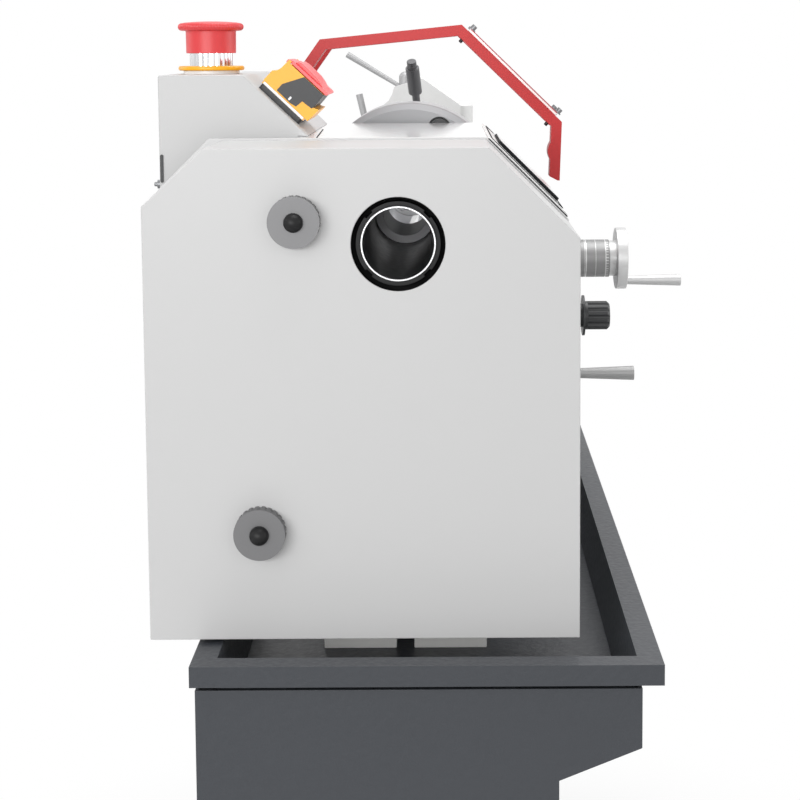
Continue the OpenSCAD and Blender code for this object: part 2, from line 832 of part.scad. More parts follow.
module headstock_housing() {
    bottom = -centre_h + 5;
    outer = [[house_rear, bottom], [house_rear, house_rise], [-house_front + house_slope, house_rise],
        [-house_front, house_rise - house_slope], [-house_front, bottom]];
    inner = inset(outer, house_wall);
    room = head_half + slide_gap;
    color("#e9e9e8") difference() {
        on_axis(head_x) run_x(head_len) polygon(outer);
        intersection() {
            on_axis(head_x + house_wall) run_x(head_len - 2 * house_wall)
                polygon([inner[0] - [0, 2 * house_wall], inner[1], inner[2], inner[3],
                    inner[4] - [0, 2 * house_wall]]);
        }
        block([head_x - cut, -room, bed_top], [head_end + cut, room, axis_z + head_rise + slide_gap]);
        translate([cover_x + selector_reach, -house_front + 2 * house_wall, axis_z - selector_z])
            rod_front(selector_shaft_d + 2 * run_gap, 3 * house_wall);
    }
}

module bearing_ring(d_out, d_in, t) {
    difference() {
        rod_x(d_out, t);
        translate([-cut, 0, 0]) rod_x(d_in + 2 * run_gap, t + 2 * cut);
    }
}

module spindle_bearings() {
    color("#b9bbbd") {
        on_axis(head_x + bearing_inset) bearing_ring(rear_bearing_d, tail_d, rear_bearing_t);
        on_axis(head_end - bearing_inset - front_bearing_t)
            bearing_ring(front_bearing_d, journal_d, front_bearing_t);
    }
}

// Plate with round corners, centred on the origin, its low face on z = 0
module round_plate(l, w, r, t) {
    linear_extrude(t) {
        square([l - 2 * r, w], center = true);
        square([l, w - 2 * r], center = true);
        for (x = [-1, 1], y = [-1, 1]) translate([x * (l / 2 - r), y * (w / 2 - r)]) circle(r);
    }
}

// Lies on the housing's slope, which falls to the front at 45 degrees
module control_panel() {
    color("#f2f2f1") translate([head_x + head_len / 2, -house_front + house_slope / 2,
        axis_z + house_rise - house_slope / 2])
        rotate([45, 0, 0]) round_plate(panel_len, house_slope * sqrt(2) - 4, 6, panel_t);
}

module motor() {
    plate_y = house_rear;
    low = -motor_z - motor_d / 2 - 4;
    color("#3c4046") difference() {
        union() {
            translate([motor_plate_x, plate_y, axis_z + low])
                cube([motor_plate_t, box_rear - plate_y, motor_d + 6]);
            translate([motor_plate_x + motor_plate_t, motor_c[0], axis_z + motor_c[1]])
                rod_x(motor_d, motor_len);
            translate([motor_plate_x + motor_plate_t + motor_len, motor_c[0], axis_z + motor_c[1]])
                rod_x(motor_d - 12, 18);
        }
        translate([motor_plate_x - cut, motor_c[0], axis_z + motor_c[1]])
            rod_x(motor_shaft_d + 2 * run_gap, motor_plate_t + 30);
    }
}

module drive_belt() {
    big = big_pulley_d / 2 + belt_gap;
    small = small_pulley_d / 2 + belt_gap;
    color("#1c1d1f") on_axis(pulley_x + pulley_rim + 1) run_x(belt_w) difference() {
        polygon(belt_points([0, 0], big + belt_t, motor_c, small + belt_t));
        polygon(belt_points([0, 0], big, motor_c, small));
    }
}

module box_outline(g) {
    polygon(inset([[box_rear, -box_drop], [box_rear, box_rise], [box_slope_top, box_rise],
        [box_lip_y, house_rise], [house_rear, house_rise], [house_rear, -box_drop]], g));
}

module electrical_box() {
    color("#dcdcda") difference() {
        on_axis(box_x) run_x(box_len) box_outline(0);
        on_axis(box_x + box_sheet) run_x(box_len - 2 * box_sheet) box_outline(box_sheet);
    }
}

module estop_collar() {
    translate([estop_x, estop_y, axis_z + box_rise]) difference() {
        union() {
            color("#e8e8e6") cylinder(d = estop_d - 8, h = estop_base_t);
            color("#f0c020") lift(estop_base_t) cylinder(d = estop_d, h = estop_ring_t);
            color("#d8dadb") lift(estop_base_t + estop_ring_t)
                cylinder(d = estop_neck_d, h = estop_neck_t);
        }
        lift(2) cylinder(d = estop_stem_d + 2 * run_gap, h = 40);
    }
}

module estop_button() {
    skirt_z = estop_base_t + estop_ring_t + estop_travel + 6;
    roof = estop_base_t + estop_ring_t + estop_neck_t + estop_travel + 1;
    color("#d8303a") translate([estop_x, estop_y, axis_z + box_rise]) {
        difference() {
            lift(skirt_z) cylinder(d = estop_skirt_d, h = estop_skirt_t);
            lift(skirt_z - cut)
                cylinder(d = estop_neck_d + 2 * slide_gap, h = roof - skirt_z + cut);
        }
        lift(skirt_z + estop_skirt_t) {
            cylinder(d = estop_d - 3, h = estop_rim_t);
            lift(2) cylinder(d = estop_d, h = estop_rim_t - 4);
        }
        lift(2 + estop_travel + 2) cylinder(d = estop_stem_d, h = roof - 2 - estop_travel);
    }
}

// Slope frame: y runs up the box's slope and z stands out from it
module on_slope() {
    translate([switch_x, switch_y, axis_z + switch_z]) rotate([slope_angle, 0, 0]) children();
}

// Outline drawn as (u, n), run along the bed by len
module slope_run(points, len) {
    run_x(len) polygon([for (p = points) [-p[0], p[1]]]);
}

module switch_body() {
    wall = 5;
    button_u = switch_l / 2 - 2;
    on_slope() difference() {
        union() {
            color("#1d1e20") block([0, -switch_base_l, 0], [switch_w, 0, switch_foot_h + 0.01]);
            color("#e8e8e6") block([-1, -switch_base_l - 1.5, switch_foot_h],
                [switch_w + 1, 1.5, switch_base_h + 0.01]);
            color("#f2c11b") slope_run([[-2, switch_base_h], [-2, 16.7], [0.6, 18.6], [1.7, 23],
                [2, switch_h + 1.8], [4.4, switch_h + 1.8], [4.4, switch_h], [switch_l - 6.4, switch_h],
                [switch_l - 5.8, 17], [switch_l - 1.2, 19], [switch_l - 1.8, switch_base_h]], switch_w);
        }
        translate([wall, -switch_l + 14, 14]) cube([switch_w - 2 * wall, switch_l - 22, switch_h]);
        translate([switch_w / 2, -button_u, switch_base_h + 2])
            cylinder(d = button_stem_d + 2 * run_gap, h = 20);
        block([6, -6, switch_h - 6], [switch_w - 6, 4, switch_h]);
        block([1.5, -6, switch_h - 0.5], [switch_w - 1.5, 4, switch_h + 3]);
    }
}

module switch_flap() {
    color("#d2303c") on_slope() {
        block([2, -switch_l + 5.4, switch_h + 0.4], [switch_w - 2, -4.8, switch_h + 2.6]);
        translate([6, 0, 0]) slope_run([[7, switch_h + 2.5], [switch_l - 6.5, switch_h + 2.5],
            [switch_l - 13, switch_h + 5.8], [switch_l - 18, switch_h + 7.2], [14, switch_h + 7.2],
            [8.5, switch_h + 6.4]], switch_w - 12);
        translate([6.4, -2, switch_h - 2]) rod_x(4, switch_w - 12.8);
        block([7, -3.5, switch_h - 2], [switch_w - 7, -0.5, switch_h + 1.4]);
        block([7, -7, switch_h + 0.6], [switch_w - 7, -0.6, switch_h + 2.4]);
    }
}

module start_button() {
    color("#3f9b57") on_slope() translate([switch_w / 2, -switch_l / 2 + 2, 0]) {
        lift(14 + button_travel + 0.4) cylinder(d = button_d, h = 7);
        lift(switch_base_h + 2 + button_travel + 0.4)
            cylinder(d = button_stem_d, h = 14 - switch_base_h - 1);
    }
}

// The studs stand in the end plate and carry the cover
module cover_studs() {
    color("#2a2b2e") for (p = [upper_stud, lower_stud]) {
        head(-cover_nut_t - slide_gap - stud_dome, p[0], p[1])
            rod_x(stud_d, cover_depth + cover_nut_t + 2 * slide_gap + stud_dome);
        head(-cover_nut_t - slide_gap - stud_dome, p[0], p[1]) intersection() {
            sphere(d = stud_d);
            translate([-stud_d, -stud_d, -stud_d]) cube([stud_d + cut / 2, 2 * stud_d, 2 * stud_d]);
        }
    }
}

module end_plate() {
    outline = [[plate_rear, -cover_drop + 4], [plate_rear, plate_corner_z], [plate_corner_y, house_rise],
        [-house_front + house_slope, house_rise], [-house_front + 1, house_rise - house_slope + 1],
        [-house_front + 1, -cover_drop + 4]];
    color("#e4e4e2") difference() {
        head(cover_depth + slide_gap) run_x(plate_t) polygon(outline);
        head(cover_depth, 0, 0) rod_x(tail_d + 12, plate_t + 2 * cut);
        head(cover_depth, motor_c[0], motor_c[1]) rod_x(motor_shaft_d + 8, plate_t + 2 * cut);
        head(cover_depth, screw_c[0], screw_c[1]) rod_x(leadscrew_d + 8, plate_t + 2 * cut);
    }
}

// The leg ends on a slant and has a thumb rest inside
module guard_outline() {
    leg_in = guard_path[3][0] + guard_bar;
    rest_r = 15;
    difference() {
        polygon(strip(guard_path, guard_bar));
        translate(guard_path[4]) polygon([[0, -1], [guard_bar + 2, -1], [guard_bar + 2, 5]]);
    }
    intersection() {
        translate([leg_in + 3.3 - rest_r, (guard_knee_z + guard_foot_z) / 2]) circle(r = rest_r);
        translate([leg_in - guard_bar / 2, guard_foot_z + 4])
            square([guard_bar, guard_knee_z - guard_foot_z - 8]);
    }
}

module guard_bracket() {
    color("#55595f") difference() {
        on_axis(box_end) run_x(guard_bracket_t) {
            translate(guard_hinge) circle(d = guard_shaft_d + 14);
            polygon([[guard_hinge[0] - 12, guard_hinge[1] - 62], [guard_hinge[0] + 20, guard_hinge[1] - 62],
                [guard_hinge[0] + 14, guard_hinge[1]], [guard_hinge[0] - 14, guard_hinge[1]]]);
        }
        translate([box_end - cut, guard_hinge[0], axis_z + guard_hinge[1]])
            rod_x(guard_shaft_d + 2 * run_gap, guard_bracket_t + 2 * cut);
    }
}

module guard_frame() {
    far_x = guard_x0 + guard_w - guard_bar_w;
    color("#c4283a") {
        on_axis(guard_x0) run_x(guard_leg_w) {
            guard_outline();
            translate(guard_hinge) circle(d = guard_shaft_d + 8);
        }
        on_axis(far_x) run_x(guard_bar_w) {
            polygon(strip([for (i = [0 : 3]) guard_path[i]], guard_bar));
            translate(guard_hinge) circle(d = guard_shaft_d + 8);
        }
        translate([box_end + 3, guard_hinge[0], axis_z + guard_hinge[1]])
            rod_x(guard_shaft_d, far_x - box_end - 3 + cut);
        for (p = [guard_path[2] + [1, -guard_bar * 0.6], guard_path[3] + [12, 5]])
            translate([guard_x0 + cut, p[0], axis_z + p[1]]) rod_x(6, guard_w - 2 * cut);
    }
}

// The clear sheet lies on the outside of the guard's slope
module guard_shield() {
    top = guard_path[2];
    low = guard_path[3];
    dir = (low - top) / norm(low - top);
    out = [dir[1], -dir[0]];
    a = top + dir * 8;
    b = low - dir * 8;
    color("#dfe9ec") on_axis(guard_x0 - 4) run_x(guard_w + 8)
        polygon([a, b, b + out * shield_t, a + out * shield_t]);
}

module gear_quadrant() {
    arm_x = cover_depth + slide_gap - quadrant_t;
    arm_len = norm(idler_c - screw_c);
    color("#7d8083") difference() {
        union() {
            head(arm_x) run_x(quadrant_t) difference() {
                union() {
                    translate(screw_c) circle(d = leadscrew_d + 34);
                    translate(idler_c) circle(d = idler_stud_d + 24);
                    translate(screw_c) rotate(atan2(idler_c[1] - screw_c[1], idler_c[0] - screw_c[0]))
                        translate([0, -18]) square([arm_len, 36]);
                }
                translate(screw_c) circle(d = leadscrew_d + 8);
                translate(screw_c) rotate(atan2(idler_c[1] - screw_c[1], idler_c[0] - screw_c[0]))
                    translate([34, -6]) square([arm_len - 64, 12]);
            }
            head(60 + gear_w + slide_gap, idler_c[0], idler_c[1])
                rod_x(idler_stud_d + 12, arm_x - 60 - gear_w - slide_gap + cut);
            head(58, idler_c[0], idler_c[1]) rod_x(idler_stud_d, arm_x - 58 + cut);
            head(52, idler_c[0], idler_c[1]) rod_x(idler_stud_d + 10, 8 - slide_gap);
        }
    }
}

module spindle() {
    tail_end = head_x + bearing_wall + 2;
    color("#a9abad") difference() {
        union() {
            on_axis(spindle_x) rod_x(tail_d, tail_end - spindle_x + cut);
            on_axis(tail_end) rod_x(journal_d, flange_x - tail_end + cut);
            on_axis(flange_x) rotate([0, 90, 0])
                cylinder(d1 = chuck_d - 2 * flange_rim, d2 = chuck_d, h = flange_rim);
            on_axis(flange_x + flange_rim - cut / 100)
                rod_x(chuck_d, flange_t - flange_rim + cut / 100);
            on_axis(chuck_x - cut) rod_x(register_d, register_t + cut);
        }
        on_axis(spindle_x - cut) rod_x(tail_bore, tail_bore_depth + cut);
        on_axis(spindle_x) rod_x(spindle_bore, chuck_x + register_t - spindle_x + cut);
        for (i = [0 : 2]) on_axis(flange_x - cut)
            rotate([chuck_screw_angle + 120 * i, 0, 0]) translate([0, chuck_screw_circle / 2, 0]) {
                rod_x(chuck_screw_sink_d, chuck_screw_sink + cut);
                rod_x(chuck_screw_d + 2 * fit_gap, flange_t + 2 * cut);
            }
    }
}

module chuck_screws() {
    color("#1b1c1e") for (i = [0 : 2]) on_axis(flange_x)
        rotate([chuck_screw_angle + 120 * i, 0, 0]) translate([0, chuck_screw_circle / 2, 0])
            difference() {
                union() {
                    translate([chuck_screw_sink - chuck_screw_head_t, 0, 0])
                        rod_x(chuck_screw_head_d, chuck_screw_head_t);
                    translate([chuck_screw_sink - cut, 0, 0])
                        rod_x(chuck_screw_d, flange_t - chuck_screw_sink + chuck_screw_hold + cut);
                }
                translate([chuck_screw_sink - chuck_screw_head_t - cut, 0, 0]) rotate([0, 90, 0])
                    cylinder(d = chuck_screw_d * 0.8, h = 7, $fn = 6);
            }
}

module ring_nut() {
    color("#97999b") difference() {
        on_axis(ring_nut_x) rod_x(ring_nut_d, ring_nut_t);
        on_axis(ring_nut_x - cut) rod_x(tail_d + 2 * fit_gap, ring_nut_t + 2 * cut);
        for (i = [0 : 3]) on_axis(ring_nut_x - cut) rotate([90 * i + 45, 0, 0])
            translate([0, ring_nut_d / 2 - 1.6, -3]) cube([ring_nut_t + 2 * cut, 4, 6]);
    }
}

// One toothed wheel about the origin, its low face on x = 0
module gear(teeth, phase) {
    rotate([phase, 0, 0]) run_x(gear_w) polygon(gear_points(teeth));
}

// Flanged belt pulley about the origin, its low face on x = 0
module pulley(d) {
    rod_x(d, groove_w + 2 * pulley_rim);
    rod_x(d + 8, pulley_rim);
    translate([groove_w + pulley_rim, 0, 0]) rod_x(d + 8, pulley_rim);
}

module spindle_pulley() {
    low = gear_x - pulley_x;
    color("#6f7275") on_axis(pulley_x) difference() {
        union() {
            pulley(big_pulley_d);
            rod_x(tail_d + 5, low);
            translate([low - cut, 0, 0]) rod_x(2 * spindle_r - 5, gear_w + cut);
            translate([low, 0, 0]) gear(spindle_teeth, spindle_phase);
        }
        translate([-cut, 0, 0]) rod_x(tail_d + 2 * fit_gap, low + gear_w + 2 * cut);
    }
}

module motor_pulley() {
    color("#5f6265") translate([pulley_x, motor_c[0], axis_z + motor_c[1]]) {
        pulley(small_pulley_d);
        translate([-4, 0, 0]) rod_x(motor_shaft_d, motor_plate_x - pulley_x + motor_plate_t + 26);
        translate([-3, 0, 0]) rod_x(motor_shaft_d + 12, 3 + cut);
    }
}

module idler_gear() {
    color("#8a7a3c") head(60, idler_c[0], idler_c[1]) difference() {
        gear(idler_teeth, idler_phase);
        translate([-cut, 0, 0]) rod_x(idler_stud_d + 2 * run_gap, gear_w + 2 * cut);
        for (i = [0 : 4]) rotate([72 * i, 0, 0]) translate([-cut, idler_r * 0.55, 0])
            rod_x(26, gear_w + 2 * cut);
    }
}

module leadscrew_gear() {
    color("#8a7a3c") head(60, screw_c[0], screw_c[1]) difference() {
        union() {
            gear(screw_teeth, screw_phase);
            translate([gear_w - cut, 0, 0]) rod_x(34, 9);
        }
        translate([-cut, 0, 0]) rod_x(leadscrew_d + 2 * fit_gap, gear_w + 10 + cut);
    }
}

module leadscrew() {
    color("#b5b7b9") head(50, screw_c[0], screw_c[1]) {
        rod_x(leadscrew_d, bed_end - cover_x - 62);
        translate([1, 0, 0]) rod_x(leadscrew_d + 9, 8.5);
    }
}

module chuck_body() {
    slot_w = jaw_w + 2 * slide_gap;
    foot_w = jaw_w + 6 + 2 * slide_gap;
    color("#9c9ea0") on_axis(chuck_x) difference() {
        rod_x(chuck_d, chuck_t);
        translate([-cut, 0, 0]) rod_x(register_d + 2 * fit_gap, register_t + cut);
        translate([-cut, 0, 0]) rod_x(chuck_bore, chuck_t + 2 * cut);
        for (i = [0 : 2]) {
            rotate([90 + 120 * i, 0, 0]) {
                translate([chuck_t - jaw_depth, 0, -slot_w / 2]) cube([jaw_depth + cut, chuck_d, slot_w]);
                translate([chuck_t - jaw_depth - slide_gap, 0, -foot_w / 2])
                    cube([7 + 2 * slide_gap, chuck_d, foot_w]);
            }
            rotate([chuck_screw_angle + 120 * i, 0, 0]) translate([-cut, chuck_screw_circle / 2, 0])
                rod_x(chuck_screw_d + 2 * fit_gap, chuck_screw_hold + 2 * cut);
            rotate([150 + 120 * i, 0, 0]) translate([chuck_t * 0.42, chuck_d / 2 - 26, 0])
                rotate([-90, 0, 0]) cylinder(d = key_hole_d, h = 30);
        }
    }
}

module chuck_jaw(i) {
    color("#84878a") on_axis(chuck_x + chuck_t) rotate([90 + 120 * i, 0, 0]) {
        translate([-jaw_depth, jaw_inner, -jaw_w / 2]) cube([jaw_depth + jaw_reach / 2, jaw_len, jaw_w]);
        translate([jaw_reach / 2 - cut, jaw_inner, -jaw_w / 2])
            cube([jaw_reach / 2 + cut, jaw_len * 0.6, jaw_w]);
        translate([-jaw_depth, jaw_inner, -jaw_w / 2 - 3]) cube([7, jaw_len, jaw_w + 6]);
    }
}

module chuck_jaw_1() {
    chuck_jaw(0);
}

module chuck_jaw_2() {
    chuck_jaw(1);
}

module chuck_jaw_3() {
    chuck_jaw(2);
}

module end_cover() {
    outer = [[cover_rear, -cover_drop], [cover_rear, cover_rise - rear_chamfer_h],
        [cover_rear - rear_chamfer_w, cover_rise], [-cover_front + front_chamfer, cover_rise],
        [-cover_front, cover_rise - front_chamfer], [-cover_front, -cover_drop]];
    color("#ececeb") difference() {
        head(0) run_x(cover_depth) polygon(outer);
        head(cover_sheet) run_x(cover_depth) polygon(inset(outer, cover_sheet));
        head(-cut) rod_x(cover_hole_d, cover_sheet + 2 * cut);
        for (p = [upper_stud, lower_stud])
            head(-cut, p[0], p[1]) rod_x(stud_d + 1, cover_sheet + 2 * cut);
    }
}

// Knurled nut on the cover stud p
module cover_nut(p) {
    color("#d4d5d6") head(-cover_nut_t - slide_gap, p[0], p[1]) difference() {
        rod_x(cover_nut_d, cover_nut_t);
        translate([-cut, 0, 0]) rod_x(stud_d + 2 * run_gap, cover_nut_t + 2 * cut);
        for (i = [0 : 23]) rotate([15 * i, 0, 0]) translate([2.5, cover_nut_d / 2 + 0.5, 0])
            rotate([0, 90, 0]) cylinder(d = 2.6, h = cover_nut_t, $fn = 16);
    }
}

module upper_cover_nut() {
    cover_nut(upper_stud);
}

module lower_cover_nut() {
    cover_nut(lower_stud);
}

module selector_knob() {
    color("#3a3c3f") translate([cover_x + selector_reach, 0, axis_z - selector_z]) {
        translate([0, -house_front + 12, 0]) rod_front(selector_shaft_d, 16);
        translate([0, -house_front - slide_gap, 0]) rod_front(selector_d - 4, selector_flange_y - house_front);
        translate([0, -selector_flange_y, 0]) rod_front(selector_flange_d, 1.6);
        difference() {
            union() {
                translate([0, -selector_flange_y - 1, 0])
                    rod_front(selector_d, selector_face - selector_flange_y - 3);
                translate([0, -selector_face + 2, 0]) cone_front(selector_d, selector_d - 4, 2);
            }
            for (i = [0 : 11]) rotate([0, 30 * i, 0])
                translate([0, -selector_flange_y - 4, selector_d / 2 + 1]) rod_front(5, selector_face);
        }
    }
}

module saddle_profile() {
    skirt = bed_half + 9;
    under = -centre_h - way_t - slide_gap;
    polygon([[-apron_front, saddle_bottom], [-skirt, saddle_bottom], [-skirt, under - 9],
        [-bed_half + 12, under - 9], [-bed_half + 12, under], [-bed_half - slide_gap, under],
        [-bed_half - slide_gap, saddle_bottom], [bed_half + slide_gap, saddle_bottom],
        [bed_half + slide_gap, under], [bed_half - 12, under], [bed_half - 12, under - 9],
        [skirt, under - 9], [skirt, saddle_top], [-apron_front, saddle_top]]);
}

module saddle() {
    boss_y = -apron_front + 20;
    color("#9b9ea0") difference() {
        union() {
            on_axis(saddle_x) run_x(saddle_len) saddle_profile();
            translate([mid_x, bed_half + 9, axis_z + saddle_top - 0.01]) run_front(apron_front + bed_half + 9 - 20)
                dovetail(dovetail_w, dovetail_h);
            block([mid_x - 30, -apron_front, axis_z + saddle_top - cut],
                [mid_x + 30, boss_y, axis_z - cross_screw_z + slide_screw_d / 2 + 8]);
            translate([mid_x, -apron_front + cut, axis_z - cross_screw_z])
                rod_front(hub_d - 8, crank_face_y - crank_t - hub_neck_t - crank_dial - apron_front - slide_gap + cut);
        }
        for (s = [-1, 1]) translate([saddle_x - cut, s * vee_y, axis_z]) run_x(saddle_len + 2 * cut)
            polygon([[vee_h + 1 + cut, -centre_h - cut], [0, -centre_h + vee_h + 1],
                [-vee_h - 1 - cut, -centre_h - cut]]);
        translate([mid_x, boss_y + cut, axis_z - cross_screw_z])
            rod_front(slide_screw_d + 2 * run_gap, apron_front);
    }
}

module apron() {
    x0 = saddle_x + 10;
    low = axis_z + saddle_bottom - apron_h;
    color("#e3e3e1") difference() {
        block([x0, -apron_front, low], [x0 + saddle_len - 20, -bed_half - 9, axis_z + saddle_bottom]);
        translate([x0 - cut, -leadscrew_y, axis_z - leadscrew_z])
            rod_x(leadscrew_d + 1, saddle_len - 20 + 2 * cut);
        translate([wheel_x, -bed_half, axis_z - wheel_z])
            rod_front(wheel_shaft_d + 2 * run_gap, apron_front - bed_half + cut);
        translate([half_nut_x, -apron_front + 25, axis_z - half_nut_z]) rod_front(12 + 2 * run_gap, 26);
    }
}

module apron_handwheel() {
    y = -wheel_face + wheel_rim_t;
    color("#b9bbbd") translate([wheel_x, 0, axis_z - wheel_z]) {
        difference() {
            translate([0, y, 0]) rod_front(wheel_d, wheel_rim_t);
            translate([0, y - wheel_web_t, 0]) rod_front(wheel_d - 2 * wheel_rim_w, wheel_rim_t);
            for (i = [0 : 2]) rotate([0, 120 * i + 60, 0]) translate([0, y + cut, wheel_d * 0.28])
                rod_front(28, wheel_rim_t + 2 * cut);
        }
        translate([0, -apron_front - slide_gap, 0]) rod_front(wheel_hub_d, wheel_face - apron_front);
        translate([0, -wall_outer - 1, 0]) rod_front(wheel_shaft_d, wheel_face - wall_outer - 4);
        translate([wheel_throw, -wheel_face + cut, 0]) rod_front(wheel_pin_d, 48);
        translate([0, -wall_outer - 1, 0]) run_front(rack_w - 1) polygon(gear_points(pinion_teeth));
    }
}

module wheel_handle() {
    color("#202124") translate([wheel_x + wheel_throw, -wheel_face - slide_gap, axis_z - wheel_z]) difference() {
        cone_front(wheel_handle_root, wheel_handle_d, wheel_handle_end - wheel_face);
        translate([0, cut, 0]) rod_front(wheel_pin_d + 2 * run_gap, 49 + cut);
    }
}

module half_nut_lever() {
    color("#2c2d30") translate([half_nut_x, -apron_front, axis_z - half_nut_z]) {
        translate([0, 22, 0]) rod_front(12, 23);
        translate([0, -slide_gap, 0]) rod_front(26, 15);
        rotate([0, 30, 0]) {
            translate([0, -slide_gap - 9, 0]) cylinder(d = 7, h = 42);
            translate([0, -slide_gap - 9, 44]) sphere(d = 15);
        }
    }
}

module cross_slide() {
    length_y = cross_len;
    color("#a4a6a8") translate([0, -cross_front, axis_z]) difference() {
        block([mid_x - bridge_w / 2, 0, cross_bottom], [mid_x + bridge_w / 2, length_y, -cross_top]);
        translate([mid_x, length_y + cut, saddle_top]) run_front(length_y + 2 * cut)
            dovetail(dovetail_w, dovetail_h, slide_gap);
        block([mid_x - channel_w / 2, -cut, saddle_top + dovetail_h - cut],
            [mid_x + channel_w / 2, length_y + cut, channel_top]);
        translate([mid_x, cross_front - swivel_front, -cross_top - 9])
            cylinder(d = swivel_pin_d + 2 * run_gap, h = 10);
    }
}

// Dial, disc and handle pin of a crank, its disc's face on y = 0 and its screw towards +y
module crank(dial_len, screw_d, screw_len, pin_len) {
    translate([0, crank_t, 0]) rod_front(crank_d, crank_t);
    translate([0, crank_t + hub_neck_t, 0]) rod_front(hub_neck_d, hub_neck_t + cut);
    translate([0, crank_t + hub_neck_t + 2, 0]) cone_front(hub_d, hub_neck_d, 2);
    translate([0, crank_t + hub_neck_t + dial_len, 0]) rod_front(hub_d, dial_len - 2);
    translate([0, crank_t + hub_neck_t + dial_len + screw_len, 0]) rod_front(screw_d, screw_len + cut);
    translate([0, cut, -crank_throw]) rod_front(handle_pin_d, pin_len + cut);
}

module cross_crank() {
    color("#b4b6b8") translate([mid_x, -crank_face_y, axis_z - cross_screw_z])
        crank(crank_dial, slide_screw_d, cross_screw_len, handle_pin_len);
}

module cross_handle() {
    color("#1f2022") translate([mid_x, -crank_face_y - slide_gap, axis_z - cross_screw_z - crank_throw])
        difference() {
            cone_front(handle_root_d, handle_end_d, cross_handle_len - slide_gap);
            translate([0, cut, 0]) rod_front(handle_pin_d + 2 * run_gap, handle_pin_len + 1 + cut);
        }
}

module swivel_base() {
    near = top_slide_near + 15;
    color("#8f9294") translate([mid_x, -swivel_front, axis_z]) difference() {
        union() {
            lift(swivel_bottom) cylinder(d = swivel_d, h = swivel_t);
            lift(swivel_bottom - 8) cylinder(d = swivel_pin_d, h = 8 + cut);
            block([near, -top_slide_w / 2, swivel_top - cut], [top_bracket_x, top_slide_w / 2, top_base_top]);
            translate([near, 0, top_base_top - 0.01]) run_x(top_bracket_x - near)
                dovetail(top_dove_w, top_dove_h);
            block([top_bracket_x - cut, -24, swivel_top], [top_bracket_x + 12, 24, top_screw_z + 12]);
        }
        translate([top_bracket_x - cut - 1, 0, top_screw_z]) rod_x(top_screw_d + 2 * run_gap, 16);
    }
}

module top_slide() {
    color("#a4a6a8") translate([mid_x, -swivel_front, axis_z]) {
        difference() {
            block([top_slide_near, -top_slide_w / 2, top_base_top + slide_gap],
                [top_slide_near + top_slide_len, top_slide_w / 2, -top_slide_top]);
            translate([top_slide_near - cut, 0, top_base_top]) run_x(top_slide_len + 2 * cut)
                dovetail(top_dove_w, top_dove_h, slide_gap);
            block([top_slide_near - cut, -top_channel_w / 2, top_base_top + top_dove_h - cut],
                [top_slide_near + top_slide_len + cut, top_channel_w / 2, top_screw_z + top_channel_w / 2]);
        }
        lift(-top_slide_top - 3) cylinder(d = post_stud_d, h = stud_top + top_slide_top + 3);
    }
}

module top_crank() {
    color("#b4b6b8") translate([mid_x + top_bracket_x + 12 + slide_gap, -swivel_front, axis_z + top_screw_z])
        rotate([0, 0, 90]) translate([0, -crank_t - hub_neck_t - top_dial, 0]) {
            crank(top_dial, top_screw_d, top_screw_len, 0);
            translate([0, cut, -crank_throw]) cone_front(handle_root_d, handle_end_d, 45);
        }
}

module tool_post() {
    slot_low = post_bottom + 14;
    slot_high = post_top - 20;
    color("#6a6d70") translate([mid_x, -swivel_front, axis_z]) {
        difference() {
            block([-post_w / 2, -post_w / 2, post_bottom], [post_w / 2, post_w / 2, post_top]);
            for (a = [0 : 3]) rotate([0, 0, 90 * a])
                block([post_w / 2 - 17, -post_w, slot_low], [post_w, post_w, slot_high]);
            lift(post_bottom - cut) cylinder(d = post_stud_d + 2 * run_gap, h = post_h + 2 * cut);
        }
        for (a = [0 : 3]) rotate([0, 0, 90 * a]) for (x = [-1, 1])
            translate([post_w / 2 - 7, x * (post_w / 2 - 20), post_top - 10]) cylinder(d = 8, h = 16, $fn = 24);
    }
}

module tool_post_lever() {
    low = post_top + 2 * slide_gap;
    color("#26282b") translate([mid_x, -swivel_front, axis_z]) {
        difference() {
            lift(low) cylinder(d = lever_hub_d, h = lever_hub_t);
            lift(low - cut)
                cylinder(d = post_stud_d + 2 * run_gap, h = stud_top + 1.5 - low + cut);
        }
        lift(low + lever_hub_t / 2) rotate([0, 0, -10]) rotate([0, -lever_tilt, 0]) {
            lift(5) cylinder(d = 8, h = 41);
            lift(45) cylinder(d = 14.3, h = 31);
            lift(76 - cut) cylinder(d = 10, h = 8 + cut);
        }
    }
}

